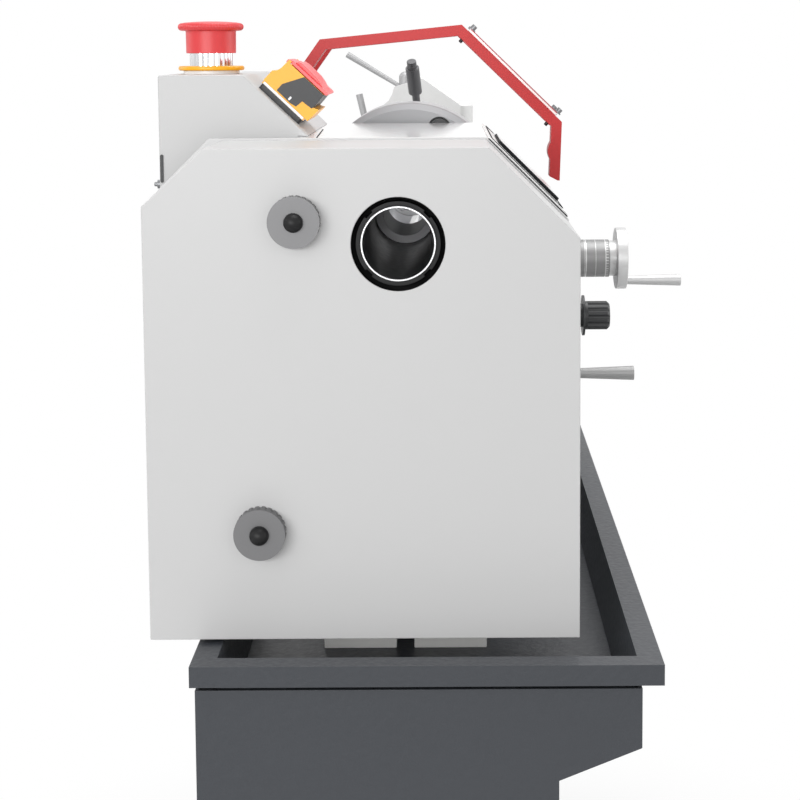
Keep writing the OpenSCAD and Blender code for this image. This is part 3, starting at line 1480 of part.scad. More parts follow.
module tailstock() {
    base_top = -centre_h + 25;
    low = -centre_h + slide_gap;
    under = -centre_h - way_t - slide_gap;
    color("#e6e6e4") difference() {
        union() {
            on_axis(tail_x) run_x(tailstock_len) {
                polygon([[-tailstock_half, low], [tailstock_half, low],
                    [tailstock_half, tailstock_shoulder], [44, tailstock_shoulder + 7],
                    [39.5, tailstock_peak - 22], [36.5, tailstock_peak - 12],
                    [10, tailstock_peak - 4], [3, tailstock_peak], [-3, tailstock_peak - 2],
                    [-tailstock_half, tailstock_shoulder]]);
                polygon([[-bed_half, low], [bed_half, low], [bed_half, base_top], [-bed_half, base_top]]);
            }
            on_axis(tail_x - barrel_front)
                rod_x(barrel_d, barrel_front + tailstock_len + barrel_rear);
            translate([tail_x + 26, -56.5, axis_z + 4]) cylinder(d = 24.7, h = 52.8);
            translate([tail_x + 26, -56.5, axis_z + 56.8]) cylinder(d1 = 24.7, d2 = 16.7, h = 4);
            translate([tail_x + tailstock_len / 2, 0, axis_z + under - 2]) cylinder(d = 16, h = 30);
            block([tail_x + 20, -wall_outer + bed_wall + 1, axis_z + under - 14],
                [tail_x + tailstock_len - 20, wall_outer - bed_wall - 1, axis_z + under]);
        }
        on_axis(tail_x - barrel_front - cut)
            rod_x(quill_d + 2 * run_gap, barrel_front + tailstock_len + barrel_rear - barrel_cap + cut);
        on_axis(tail_x + tailstock_len + barrel_rear - barrel_cap - cut)
            rod_x(quill_screw_d + 2 * run_gap, barrel_cap + 2 * cut);
        for (s = [-1, 1]) translate([tail_x - cut, s * vee_y, axis_z]) run_x(tailstock_len + 2 * cut)
            polygon([[vee_h + 1 + cut, -centre_h - cut], [0, -centre_h + vee_h + 1],
                [-vee_h - 1 - cut, -centre_h - cut]]);
        translate([quill_clamp_x, quill_clamp_y, axis_z + 80]) cylinder(d = 40, h = 30);
        translate([quill_clamp_x, quill_clamp_y, axis_z + 60]) cylinder(d = 8 + 2 * run_gap, h = 30);
        translate([clamp_x, tailstock_half - 24, axis_z - clamp_z]) rotate([-90, 0, 0])
            cylinder(d = 12 + 2 * run_gap, h = 30);
    }
}

module quill() {
    color("#b9bbbd") on_axis(tail_x - barrel_front - quill_out) difference() {
        rod_x(quill_d, quill_len);
        translate([-cut, 0, 0]) rod_x(quill_bore, quill_taper_depth + cut);
        translate([quill_len - 100, 0, 0]) rod_x(quill_screw_d + 1, 100 + cut);
    }
}

module tailstock_handwheel() {
    x = tail_x + tailstock_len + barrel_rear + slide_gap;
    color("#b0b2b4") on_axis(x) {
        rod_x(tail_hub_d, 30);
        translate([-108, 0, 0]) rod_x(quill_screw_d, 110);
        translate([18, 0, 0]) difference() {
            rod_x(tail_wheel_d, 14);
            translate([-cut, 0, 0]) rod_x(tail_wheel_d - 24, 5);
            for (i = [0 : 3]) rotate([90 * i + 45, 0, 0]) translate([-cut, 34, 0]) rod_x(16, 16);
        }
        translate([31, 0, 44]) rod_x(8, 12);
        translate([42, 0, 44]) rod_x(14, 44);
    }
}

module quill_lever() {
    color("#7c7f82") translate([quill_clamp_x, quill_clamp_y, axis_z]) {
        lift(80.3) cylinder(d = 16, h = 17);
        lift(95) intersection() {
            sphere(d = 16);
            translate([-10, -10, 0]) cube(20);
        }
        lift(62) cylinder(d = 8, h = 20);
        translate([0, 6.5, 82.8]) rotate([-quill_lever_angle, 0, 0]) cylinder(d1 = 5.6, d2 = 8.6, h = 84);
    }
}

module tailstock_clamp_lever() {
    color("#77797c") translate([clamp_x, tailstock_half + slide_gap, axis_z - clamp_z]) {
        rotate([-90, 0, 0]) cylinder(d = 24, h = 12);
        translate([0, -22, 0]) rotate([-90, 0, 0]) cylinder(d = 12, h = 24);
        translate([0, 6, 6]) rotate([-clamp_lean, 0, 0]) cylinder(d1 = 8, d2 = 9.4, h = 129);
    }
}

left_cabinet();
right_cabinet();
chip_tray();
riser_blocks();
bed();
bed_bolts();
rack();
leadscrew_brackets();
headstock();
headstock_housing();
spindle_bearings();
end_plate();
control_panel();
motor();
drive_belt();
electrical_box();
estop_collar();
switch_body();
cover_studs();
guard_bracket();
gear_quadrant();
spindle();
ring_nut();
spindle_pulley();
chuck_body();
chuck_screws();
chuck_jaw_1();
chuck_jaw_2();
chuck_jaw_3();
motor_pulley();
idler_gear();
leadscrew_gear();
leadscrew();
end_cover();
upper_cover_nut();
lower_cover_nut();
selector_knob();
estop_button();
switch_flap();
start_button();
guard_frame();
guard_shield();
saddle();
apron();
apron_handwheel();
wheel_handle();
half_nut_lever();
cross_slide();
cross_crank();
cross_handle();
swivel_base();
top_slide();
top_crank();
tool_post();
tool_post_lever();
tailstock();
quill();
tailstock_handwheel();
quill_lever();
tailstock_clamp_lever();
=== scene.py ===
import math

import bpy
from mathutils import Matrix, Vector


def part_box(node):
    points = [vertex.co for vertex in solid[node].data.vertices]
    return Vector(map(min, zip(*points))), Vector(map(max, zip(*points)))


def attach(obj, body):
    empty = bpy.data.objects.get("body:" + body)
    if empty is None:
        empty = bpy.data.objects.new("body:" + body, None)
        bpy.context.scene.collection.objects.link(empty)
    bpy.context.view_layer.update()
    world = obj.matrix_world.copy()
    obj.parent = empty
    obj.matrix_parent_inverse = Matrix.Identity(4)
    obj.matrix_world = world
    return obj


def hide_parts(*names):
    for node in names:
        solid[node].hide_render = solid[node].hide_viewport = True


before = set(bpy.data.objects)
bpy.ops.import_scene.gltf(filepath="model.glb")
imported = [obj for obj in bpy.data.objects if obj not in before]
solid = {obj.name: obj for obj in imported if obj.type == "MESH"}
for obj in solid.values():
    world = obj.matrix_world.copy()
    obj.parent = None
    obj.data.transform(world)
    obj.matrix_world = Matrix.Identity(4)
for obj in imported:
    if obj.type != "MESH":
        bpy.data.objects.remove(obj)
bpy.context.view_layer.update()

# cabinets and chip tray
# Folded sheet-steel cabinets with a collar that carries the tray, and a welded sheet tray.
# Both are sprayed with slate-grey hammered enamel, which dries in small dimples.


def linear(r, g, b):
    """Colour mixed on a 0-255 card, as a linear colour."""
    card = [c / 255 for c in (r, g, b)]
    return [c / 12.92 if c <= 0.04045 else ((c + 0.055) / 1.055) ** 2.4 for c in card] + [1]


def middle(node, axis):
    """Middle of a CAD node's box along one axis."""
    low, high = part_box(node)
    return (low[axis] + high[axis]) / 2


def crisp_folds_group():
    """Rounds the shading over gentle bends and keeps folds above the set angle crisp."""
    fold_angle = math.radians(32)
    group = bpy.data.node_groups.new("crisp_folds", "GeometryNodeTree")
    group.interface.new_socket(name="Geometry", in_out="INPUT", socket_type="NodeSocketGeometry")
    group.interface.new_socket(name="Geometry", in_out="OUTPUT", socket_type="NodeSocketGeometry")
    nodes, wire = group.nodes, group.links.new
    into, out = nodes.new("NodeGroupInput"), nodes.new("NodeGroupOutput")
    faces, edges = nodes.new("GeometryNodeSetShadeSmooth"), nodes.new("GeometryNodeSetShadeSmooth")
    edges.domain = "EDGE"
    angle, gentle = nodes.new("GeometryNodeInputMeshEdgeAngle"), nodes.new("FunctionNodeCompare")
    gentle.data_type, gentle.operation = "FLOAT", "LESS_EQUAL"
    gentle.inputs[1].default_value = fold_angle
    wire(into.outputs[0], faces.inputs["Geometry"])
    wire(faces.outputs[0], edges.inputs["Geometry"])
    wire(angle.outputs["Unsigned Angle"], gentle.inputs[0])
    wire(gentle.outputs[0], edges.inputs["Shade Smooth"])
    wire(edges.outputs[0], out.inputs[0])
    return group


crisp_folds = crisp_folds_group()


def ease_edges(obj, width, segments=2):
    """Takes the knife edge off a solid, as a file, a press brake or a coat of paint does."""
    same_point, flat_angle, edge_angle = 2e-6, math.radians(0.4), math.radians(38)
    weld = obj.modifiers.new("joined_faces", "WELD")
    weld.merge_threshold = same_point
    if width:
        flush = obj.modifiers.new("flush_faces", "DECIMATE")
        flush.decimate_type = "DISSOLVE"
        flush.angle_limit = flat_angle
        edge = obj.modifiers.new("eased_edge", "BEVEL")
        edge.width = width
        edge.segments = segments
        edge.limit_method = "ANGLE"
        edge.angle_limit = edge_angle
        edge.use_clamp_overlap = True
    folds = obj.modifiers.new("crisp_folds", "NODES")
    folds.node_group = crisp_folds
    flats = obj.modifiers.new("true_flats", "WEIGHTED_NORMAL")
    flats.mode = "FACE_AREA"
    flats.weight = 100
    flats.keep_sharp = True


def dress(names, material, width, segments=2):
    """Gives CAD solids their finish and eased edges."""
    for name in names:
        obj = solid[name]
        for slot in obj.material_slots:
            slot.material = material
        ease_edges(obj, width, segments)


def coat_film_group():
    """Coat on metal: a slight cloudiness in colour and gloss, and a fine texture in its height."""
    cloud_scale, cloud_detail, cloud_base = 5, 4, 0.98
    grain_detail, grain_middle = 2, 0.5
    group = bpy.data.node_groups.new("coat_film", "ShaderNodeTree")
    group.interface.new_socket(name="Color", in_out="INPUT", socket_type="NodeSocketColor")
    for name in ("Cloud", "Grain Scale", "Stretch", "Roughness", "Spread"):
        group.interface.new_socket(name=name, in_out="INPUT", socket_type="NodeSocketFloat")
    group.interface.new_socket(name="Color", in_out="OUTPUT", socket_type="NodeSocketColor")
    group.interface.new_socket(name="Roughness", in_out="OUTPUT", socket_type="NodeSocketFloat")
    group.interface.new_socket(name="Height", in_out="OUTPUT", socket_type="NodeSocketFloat")
    nodes, wire = group.nodes, group.links.new
    into, out = nodes.new("NodeGroupInput"), nodes.new("NodeGroupOutput")
    place = nodes.new("ShaderNodeTexCoord")
    clouds = nodes.new("ShaderNodeTexNoise")
    clouds.inputs["Scale"].default_value = cloud_scale
    clouds.inputs["Detail"].default_value = cloud_detail
    wire(place.outputs["Object"], clouds.inputs["Vector"])
    shade = nodes.new("ShaderNodeMath")
    shade.operation = "MULTIPLY_ADD"
    wire(clouds.outputs["Fac"], shade.inputs[0])
    wire(into.outputs["Cloud"], shade.inputs[1])
    shade.inputs[2].default_value = cloud_base
    tint = nodes.new("ShaderNodeVectorMath")
    tint.operation = "SCALE"
    wire(into.outputs["Color"], tint.inputs[0])
    wire(shade.outputs[0], tint.inputs["Scale"])
    wire(tint.outputs[0], out.inputs["Color"])
    along = nodes.new("ShaderNodeCombineXYZ")
    wire(into.outputs["Stretch"], along.inputs[0])
    along.inputs[1].default_value = along.inputs[2].default_value = 1
    pull = nodes.new("ShaderNodeVectorMath")
    pull.operation = "MULTIPLY"
    wire(place.outputs["Object"], pull.inputs[0])
    wire(along.outputs[0], pull.inputs[1])
    grain = nodes.new("ShaderNodeTexNoise")
    grain.inputs["Detail"].default_value = grain_detail
    wire(pull.outputs[0], grain.inputs["Vector"])
    wire(into.outputs["Grain Scale"], grain.inputs["Scale"])
    wire(grain.outputs["Fac"], out.inputs["Height"])
    centred = nodes.new("ShaderNodeMath")
    centred.operation = "SUBTRACT"
    wire(grain.outputs["Fac"], centred.inputs[0])
    centred.inputs[1].default_value = grain_middle
    spread = nodes.new("ShaderNodeMath")
    spread.operation = "MULTIPLY_ADD"
    wire(centred.outputs[0], spread.inputs[0])
    wire(into.outputs["Spread"], spread.inputs[1])
    wire(into.outputs["Roughness"], spread.inputs[2])
    wire(spread.outputs[0], out.inputs["Roughness"])
    return group


coat_film = coat_film_group()


def finish(name, color, rough, metal=0.0, cloud=0.04, grain=900, stretch=1.0, spread=0.06, bump=0.05,
           depth=0.0001, coat=0.0, gloss=0.5):
    """A finished surface: colour with a little life in it, gloss that varies and a fine texture."""
    coat_rough = 0.15
    mat = bpy.data.materials.new(name)
    mat.use_nodes = True
    nodes, wire = mat.node_tree.nodes, mat.node_tree.links.new
    shader = nodes["Principled BSDF"]
    film = nodes.new("ShaderNodeGroup")
    film.node_tree = coat_film
    film.inputs["Color"].default_value = color
    film.inputs["Cloud"].default_value = cloud
    film.inputs["Grain Scale"].default_value = grain
    film.inputs["Stretch"].default_value = stretch
    film.inputs["Roughness"].default_value = rough
    film.inputs["Spread"].default_value = spread
    wire(film.outputs["Color"], shader.inputs["Base Color"])
    wire(film.outputs["Roughness"], shader.inputs["Roughness"])
    ripple = nodes.new("ShaderNodeBump")
    ripple.inputs["Strength"].default_value = bump
    ripple.inputs["Distance"].default_value = depth
    wire(film.outputs["Height"], ripple.inputs["Height"])
    wire(ripple.outputs["Normal"], shader.inputs["Normal"])
    shader.inputs["Metallic"].default_value = metal
    shader.inputs["Specular IOR Level"].default_value = gloss
    if coat:
        shader.inputs["Coat Weight"].default_value = coat
        shader.inputs["Coat Roughness"].default_value = coat_rough
    return mat


def piece(name, points, faces, material, body, place, width=0.0):
    """A shaped part in its own mesh, set in place and carried by the body that it belongs to."""
    mesh = bpy.data.meshes.new(name)
    mesh.from_pydata(points, [], faces)
    mesh.materials.append(material)
    obj = bpy.data.objects.new(name, mesh)
    bpy.context.collection.objects.link(obj)
    obj.matrix_world = place
    ease_edges(obj, width)
    bpy.context.view_layer.update()
    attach(obj, body)
    return obj


def slab(name, outline, low, high, material, body, place, width=0.0003, hole=None):
    """A flat part cut to an outline in its local XY, from one height to another, with or without a hole."""
    n = len(outline)
    rings = [outline, outline] + ([hole, hole] if hole else [])
    points = [(x, y, (low, high)[i % 2]) for i, ring in enumerate(rings) for x, y in ring]
    turn = [(i, (i + 1) % n) for i in range(n)]
    faces = [(a, b, n + b, n + a) for a, b in turn]
    if hole:
        faces += [(2 * n + b, 2 * n + a, 3 * n + a, 3 * n + b) for a, b in turn]
        faces += [(b, a, 2 * n + a, 2 * n + b) for a, b in turn]
        faces += [(n + a, n + b, 3 * n + b, 3 * n + a) for a, b in turn]
    else:
        faces += [tuple(range(n))[::-1], tuple(range(n, 2 * n))]
    return piece(name, points, faces, material, body, place, width)


def rounded(width, depth, radius, x=0.0, y=0.0, steps=6):
    """Outline of a plate with rounded corners, centred on x and y."""
    corners = ((1, 1, 0), (-1, 1, 90), (-1, -1, 180), (1, -1, 270))
    return [(x + a * (width / 2 - radius) + radius * math.cos(math.radians(start + 90 * i / steps)),
             y + b * (depth / 2 - radius) + radius * math.sin(math.radians(start + 90 * i / steps)))
            for a, b, start in corners for i in range(steps + 1)]


def lathe(name, profile, material, body, place, steps=96, rib=0.0, every=2, ribbed=(0.0, 0.0)):
    """A turned part: radius and height pairs swept round local Z, with flutes between two heights."""
    n = len(profile)
    points = []
    for i in range(steps):
        a = 2 * math.pi * i / steps
        for r, z in profile:
            if rib and ribbed[0] <= z <= ribbed[1] and i % every == 0:
                r -= rib
            points.append((r * math.cos(a), r * math.sin(a), z))
    faces = [(i * n + k, ((i + 1) % steps) * n + k, ((i + 1) % steps) * n + k + 1, i * n + k + 1)
             for i in range(steps) for k in range(n - 1)]
    return piece(name, points, faces, material, body, place)


slate = finish("slate_hammered_enamel", linear(52, 55, 60), rough=0.40, cloud=0.12, grain=230, spread=0.16,
               bump=0.7, depth=0.0005)
dress(["left_cabinet", "right_cabinet", "chip_tray"], slate, 0.0016, 3)
latch_black = finish("latch_black", linear(28, 28, 30), rough=0.4, cloud=0.08, grain=600, gloss=0.3)
cabinet_front = -0.109
door = rounded(0.316, 0.560, 0.006, 0, 0.345)
latch_reach, latch_z = 0.132, 0.400
latch_profile = [(0.0140, 0.0010), (0.0140, 0.0026), (0.0125, 0.0034), (0.0096, 0.0036), (0.0090, 0.0100),
                 (0.0078, 0.0110), (0, 0.0112)]
for name, inwards in (("left", 1), ("right", -1)):
    on_front = (Matrix.Translation((middle(name + "_cabinet", 0), cabinet_front, 0))
                @ Matrix.Rotation(math.radians(90), 4, "X"))
    slab(name + "_door", door, -0.0004, 0.0016, slate, "frame", on_front, 0.0006)
    lathe(name + "_door_latch", latch_profile, latch_black, "frame",
          on_front @ Matrix.Translation((inwards * latch_reach, latch_z, 0)), 48, 0.0006, 4, (0.0038, 0.0100))

# white enamelled sheet and castings
# Sheet cover, end plate, electrical box and apron in baked semi-gloss white enamel, almost perfectly even.
# The housing has a glossier coat. The tailstock and the riser blocks are duller, over filler.
white = finish("white_enamel", linear(195, 195, 195), rough=0.38, cloud=0.02, grain=700, spread=0.05,
               bump=0.05, depth=0.0002)
dress(["end_cover", "end_plate"], white, 0.0010, 3)
# The box and apron take a slightly darker copy of the white enamel, its tone set to how light falls on the box:
# painted shade.
box_white_painted_shade = finish("box_enamel_painted_shade", linear(190, 190, 190), rough=0.38, cloud=0.02, grain=700, spread=0.05,
                   bump=0.05, depth=0.0002)
dress(["electrical_box", "apron"], box_white_painted_shade, 0.0018, 3)
glossy_white = finish("gloss_white_enamel", linear(248, 248, 248), rough=0.10, cloud=0.02, grain=500,
                      spread=0.03, bump=0.02, depth=0.0001, coat=1.0)
dress(["headstock_housing"], glossy_white, 0.0010, 3)
casting_white = finish("casting_enamel", linear(226, 226, 225), rough=0.45, cloud=0.03, grain=300, bump=0.12,
                       depth=0.0003)
dress(["tailstock"], casting_white, 0.0022, 3)
# The riser blocks' near white is painted light, lifting them where they sit in shade under the cover.
riser_painted_light = finish("riser_painted_light_enamel", linear(250, 249, 246), rough=0.5, cloud=0.05, grain=400)
dress(["riser_blocks"], riser_painted_light, 0.0008)

# bed, headstock casting and slides
# Grey iron, left as cast under a thin grey coat on the bed, the headstock, brackets and quadrant.
# The saddle, cross slide, swivel and top slide are ground, with the marks of the wheel along them.
iron = finish("grey_iron", linear(118, 120, 122), rough=0.45, metal=0.85, cloud=0.10, grain=300, spread=0.15,
              bump=0.12, depth=0.0003)
dress(["bed", "headstock", "leadscrew_brackets", "guard_bracket", "gear_quadrant"], iron, 0.0010)
ground = finish("ground_iron", linear(165, 167, 169), rough=0.30, metal=1.0, cloud=0.06, grain=500,
                stretch=0.05, spread=0.2, bump=0.06)
dress(["saddle", "cross_slide", "swivel_base", "top_slide"], ground, 0.0008)

# spindle, chuck and turned steel
# Turned and ground steel, with blackened screws and ring nut and phosphated pulleys. Behind a bright lip,
# the spindle's bore is lined with a wide part, a step, a narrow part and a polished seat; the dark wide and
# narrow linings are painted shade.


def along_x(x, y, z):
    """Places local Z along the machine's X, for parts turned about a line parallel to the spindle."""
    return Matrix.Translation((x, y, z)) @ Matrix.Rotation(math.radians(90), 4, "Y")


steel = finish("turned_steel", linear(158, 160, 163), rough=0.30, metal=1.0, cloud=0.05, grain=900,
               spread=0.10, bump=0.03)
flange_steel = finish("faced_steel", linear(158, 159, 161), rough=0.6, metal=0.5, cloud=0.04, grain=700,
                      spread=0.05, bump=0.02)
dress(["spindle"], flange_steel, 0.0005)
dress(["spindle_bearings", "chuck_jaw_1", "chuck_jaw_2", "chuck_jaw_3", "rack", "leadscrew", "quill"],
      steel, 0.0005)
phosphate = finish("phosphated_iron", linear(16, 16, 17), rough=0.6, cloud=0.10, grain=500, gloss=0.15)
dress(["spindle_pulley", "motor_pulley"], phosphate, 0)
black_steel = finish("blackened_steel", linear(26, 26, 28), rough=0.40, metal=0.3, cloud=0.10, grain=600,
                     spread=0.10, bump=0.04)
dress(["chuck_screws", "bed_bolts"], black_steel, 0.0004)
ring_black_and_painted_shade = finish("ring_black_and_painted_shade", linear(20, 20, 21), rough=0.45, cloud=0.10, grain=600, bump=0.03,
                    gloss=0.25)
dress(["ring_nut", "cover_studs"], ring_black_and_painted_shade, 0.0004)
chuck_steel = finish("ground_chuck", linear(184, 185, 187), rough=0.36, metal=0.85, cloud=0.04, grain=700,
                     spread=0.06, bump=0.02)
dress(["chuck_body"], chuck_steel, 0.0006)
post_steel = finish("ground_post", linear(196, 197, 199), rough=0.34, metal=0.9, cloud=0.04, grain=700,
                    spread=0.06, bump=0.03)
dress(["tool_post"], post_steel, 0.0006)
lip_metal = finish("bright_lip", linear(236, 236, 238), rough=0.25, metal=1.0, cloud=0.02, grain=900)
# Dark lining of the wide bore: painted shade for the inside of the deep bore.
painted_bore_shade = finish("bore_painted_shade", linear(34, 35, 36), rough=0.36, metal=0.3, cloud=0.16, grain=300, stretch=0.1,
               spread=0.2, bump=0.06, gloss=0.25)
step_steel = finish("step_steel", linear(112, 112, 114), rough=0.4, metal=0.6, cloud=0.06, grain=700)
polished = finish("polished_seat", linear(250, 250, 251), rough=0.08, metal=1.0, cloud=0.03, grain=900,
                  spread=0.03)
axis_z = middle("chuck_body", 2)
spindle_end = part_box("spindle")[0][0]
lip_proud, lip_depth = 0.0003, 0.0030
lip_inner, lip_outer, rim_outer = 0.0251, 0.0260, 0.0265
wide_r, narrow_r, seat_r = 0.02485, 0.0184, 0.01885
wide_len, narrow_len, seat_len = 0.2140, 0.0930, 0.0720
at_lip = along_x(spindle_end - lip_proud, 0, axis_z)
at_step = along_x(spindle_end + wide_len, 0, axis_z)
lathe("bore_lip", [(lip_inner, lip_depth), (lip_inner, 0), (lip_outer, 0), (lip_outer, lip_depth)],
      lip_metal, "spindle", at_lip)
# Black ring on the spindle's end face: painted shade for its recess inside the cover's hole.
lathe("spindle_end_painted_shade", [(lip_outer, 0.0004), (lip_outer, 0.0001), (rim_outer, 0.0001),
                            (rim_outer, 0.0004)], ring_black_and_painted_shade, "spindle", at_lip)
lathe("wide_bore", [(0.0250, 0), (wide_r, 0.0002), (wide_r, wide_len)], painted_bore_shade, "spindle",
      along_x(spindle_end, 0, axis_z))
lathe("bore_step", [(0.0248, 0.0002), (0.0246, 0), (0.0186, 0), (narrow_r, 0.0003)], step_steel, "spindle",
      at_step)
# The narrow bore is lined in the ring nut's black as painted shade.
lathe("narrow_bore", [(narrow_r, 0.0002), (narrow_r, narrow_len)], ring_black_and_painted_shade, "spindle", at_step)
lathe("polished_seat", [(narrow_r, 0), (seat_r, 0.0006), (seat_r, seat_len)], polished, "spindle",
      along_x(spindle_end + wide_len + narrow_len, 0, axis_z))

# motor
# Aluminium motor with low ribs round its body, under dark enamel.
# It hangs on a thick plate behind the headstock.
motor_coat = finish("motor_enamel", linear(62, 65, 70), rough=0.45, cloud=0.08, grain=300, spread=0.1,
                    bump=0.2)
dress(["motor"], motor_coat, 0.0012)
rib_count, rib_pitch, rib_width, rib_slope = 24, 0.008, 0.0032, 0.0005
motor_r, rib_r, first_rib_x = 0.0518, 0.0528, -0.5000
motor_ribs = []
for start in [rib_pitch * k for k in range(rib_count)]:
    motor_ribs += [(motor_r, start), (rib_r, start + rib_slope), (rib_r, start + rib_width - rib_slope),
                   (motor_r, start + rib_width)]
lathe("motor_fins", motor_ribs, motor_coat, "frame",
      along_x(first_rib_x, middle("motor_pulley", 1), middle("motor_pulley", 2)), 120)

# cover nuts
# Aluminium nuts with a knurled rim and a flat turned face, on black studs.
# They hold the end cover and are undone by hand.
nut_metal = finish("turned_aluminium", linear(112, 112, 113), rough=0.5, metal=0.8, cloud=0.06, grain=700,
                   spread=0.08, bump=0.03)
dress(["upper_cover_nut", "lower_cover_nut"], nut_metal, 0.0006)

# guard
# Bent flat bars in red enamel with a clear sheet screwed to their slope.
# The sheet has polished edges with a painted pale glint, and a red line along each side that is a painted
# reflection of the red bar.


def clear_sheet_finish():
    """Clear plastic that is a little hazy and shows more gloss where it is seen edge on."""
    haze_scale, haze_least, haze_most = 40, 0.06, 0.10
    edge_on, edge_gain = 0.25, 0.75
    clear = bpy.data.materials.new("clear_sheet")
    clear.use_nodes = True
    nodes, wire = clear.node_tree.nodes, clear.node_tree.links.new
    skin = nodes["Principled BSDF"]
    skin.inputs["Base Color"].default_value = linear(236, 240, 242)
    skin.inputs["Roughness"].default_value = 0.08
    through, facing = nodes.new("ShaderNodeBsdfTransparent"), nodes.new("ShaderNodeLayerWeight")
    haze, veil = nodes.new("ShaderNodeTexNoise"), nodes.new("ShaderNodeMapRange")
    share, mix = nodes.new("ShaderNodeMath"), nodes.new("ShaderNodeMixShader")
    haze.inputs["Scale"].default_value = haze_scale
    wire(haze.outputs["Fac"], veil.inputs["Value"])
    veil.inputs["To Min"].default_value = haze_least
    veil.inputs["To Max"].default_value = haze_most
    facing.inputs["Blend"].default_value = edge_on
    share.operation = "MULTIPLY_ADD"
    wire(facing.outputs["Facing"], share.inputs[0])
    share.inputs[1].default_value = edge_gain
    wire(veil.outputs["Result"], share.inputs[2])
    wire(share.outputs[0], mix.inputs["Fac"])
    wire(through.outputs[0], mix.inputs[1])
    wire(skin.outputs[0], mix.inputs[2])
    wire(mix.outputs[0], nodes["Material Output"].inputs["Surface"])
    return clear


red = finish("red_enamel", linear(188, 40, 42), rough=0.36, cloud=0.05, grain=700, spread=0.06, bump=0.06,
             gloss=0.3)
dress(["guard_frame"], red, 0.0008)
slope_top, slope_low = Vector((0, -0.048, axis_z + 0.1556)), Vector((0, -0.1388, axis_z + 0.0669))
slope_len = (slope_low - slope_top).length
down = (slope_low - slope_top).normalized()
outward = Vector((0, down.z, -down.y))
on_guard = Matrix.Translation(slope_top) @ Matrix((Vector((1, 0, 0)), down, outward)).transposed().to_4x4()
sheet_x, sheet_y = middle("guard_shield", 0), slope_len / 2
sheet_low, line_low, sheet_high, line_high = 0.0003, 0.0022, 0.0029, 0.0032
sheet = slab("clear_sheet", rounded(0.0940, slope_len - 0.016, 0.003, sheet_x, sheet_y), sheet_low,
             sheet_high, clear_sheet_finish(), "guard", on_guard, 0)
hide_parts("guard_shield")
# The red lines are a painted reflection of the red bar in the sheet, and the pale strips a painted glint on its
# polished edges.
bar_reflection_red = finish("painted_bar_reflection", linear(158, 30, 40), rough=0.3, cloud=0.04, grain=700)
edge_glint_pale = finish("painted_edge_glint", linear(250, 232, 230), rough=0.2, cloud=0.03, grain=700)
edge_reach = 0.0473
for name, x in (("near", sheet_x - edge_reach), ("far", sheet_x + edge_reach)):
    slab(name + "_reflection_line", rounded(0.0010, slope_len - 0.019, 0.0003, x, sheet_y), line_low, line_high,
         bar_reflection_red, "guard", on_guard, 0)
    slab(name + "_sheet_edge_glint", rounded(0.0006, slope_len - 0.018, 0.0002, x, sheet_y), sheet_low, line_low,
         edge_glint_pale, "guard", on_guard, 0)
bolt_grey = finish("bolt_grey", linear(126, 127, 129), rough=0.4, metal=0.9, cloud=0.05, grain=900)
socket_bolt = [(0, 0.0079), (0.0009, 0.0079), (0.0009, 0.0064), (0.0021, 0.0064), (0.0021, 0.0079),
               (0.0026, 0.0076), (0.0026, 0.0042), (0.0036, 0.0042), (0.0036, 0.0031), (0, 0.0031)]
bolt_tip = [(0, -0.0128), (0.0013, -0.0128), (0.0017, -0.0123), (0.0017, -0.009), (0, -0.009)]
top_bolt_y, low_bolt_y = 0.0097, slope_len - 0.0085
for name, x in (("near", -0.2435), ("far", -0.171)):
    for end, y in (("top", top_bolt_y), ("low", low_bolt_y)):
        at = on_guard @ Matrix.Translation((x, y, 0))
        lathe(f"{name}_{end}_bolt", socket_bolt, bolt_grey, "guard", at, 36)
        if name == "near":
            lathe(f"{name}_{end}_bolt_tip", bolt_tip, black_steel, "guard", at, 24)

# electrical box fittings
# Rubber strip on the box's near face and a bolt through its rear wall.
# In front of the box, the housing's top sheet has a seam.
black = finish("black_plastic", linear(36, 37, 39), rough=0.42, cloud=0.08, grain=600, bump=0.06)
print_grey = finish("printed_line", linear(40, 41, 44), rough=0.7, cloud=0.04, grain=900, gloss=0.0)
box_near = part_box("electrical_box")[0][0]
box_rear, box_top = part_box("electrical_box")[1][1:3]
along_sides = Matrix(((0, 0, 1, 0), (1, 0, 0, 0), (0, 1, 0, 0), (0, 0, 0, 1)))
slab("box_strip", rounded(0.0024, 0.0214, 0.0011, box_rear - 0.0019, box_top - 0.0708), -0.0012, 0.0004,
     black, "frame", Matrix.Translation((box_near, 0, 0)) @ along_sides)
bolt_place = (box_near + 0.012, box_rear + 0.0001, box_top - 0.0837)
lathe("box_bolt", [(0, 0.0060), (0.0013, 0.0060), (0.0017, 0.0055), (0.0017, 0.0036), (0.0034, 0.0034),
                   (0.0034, 0), (0, 0)], bolt_grey, "frame",
      Matrix.Translation(bolt_place) @ Matrix.Rotation(math.radians(-90), 4, "X"), 36)
housing_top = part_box("headstock_housing")[1][2]
slab("housing_seam", [(-0.5200, 0.0634), (-0.3920, 0.0681), (-0.3920, 0.0689), (-0.5200, 0.0642)],
     housing_top - 0.0001, housing_top + 0.0003, print_grey, "frame", Matrix(), 0)

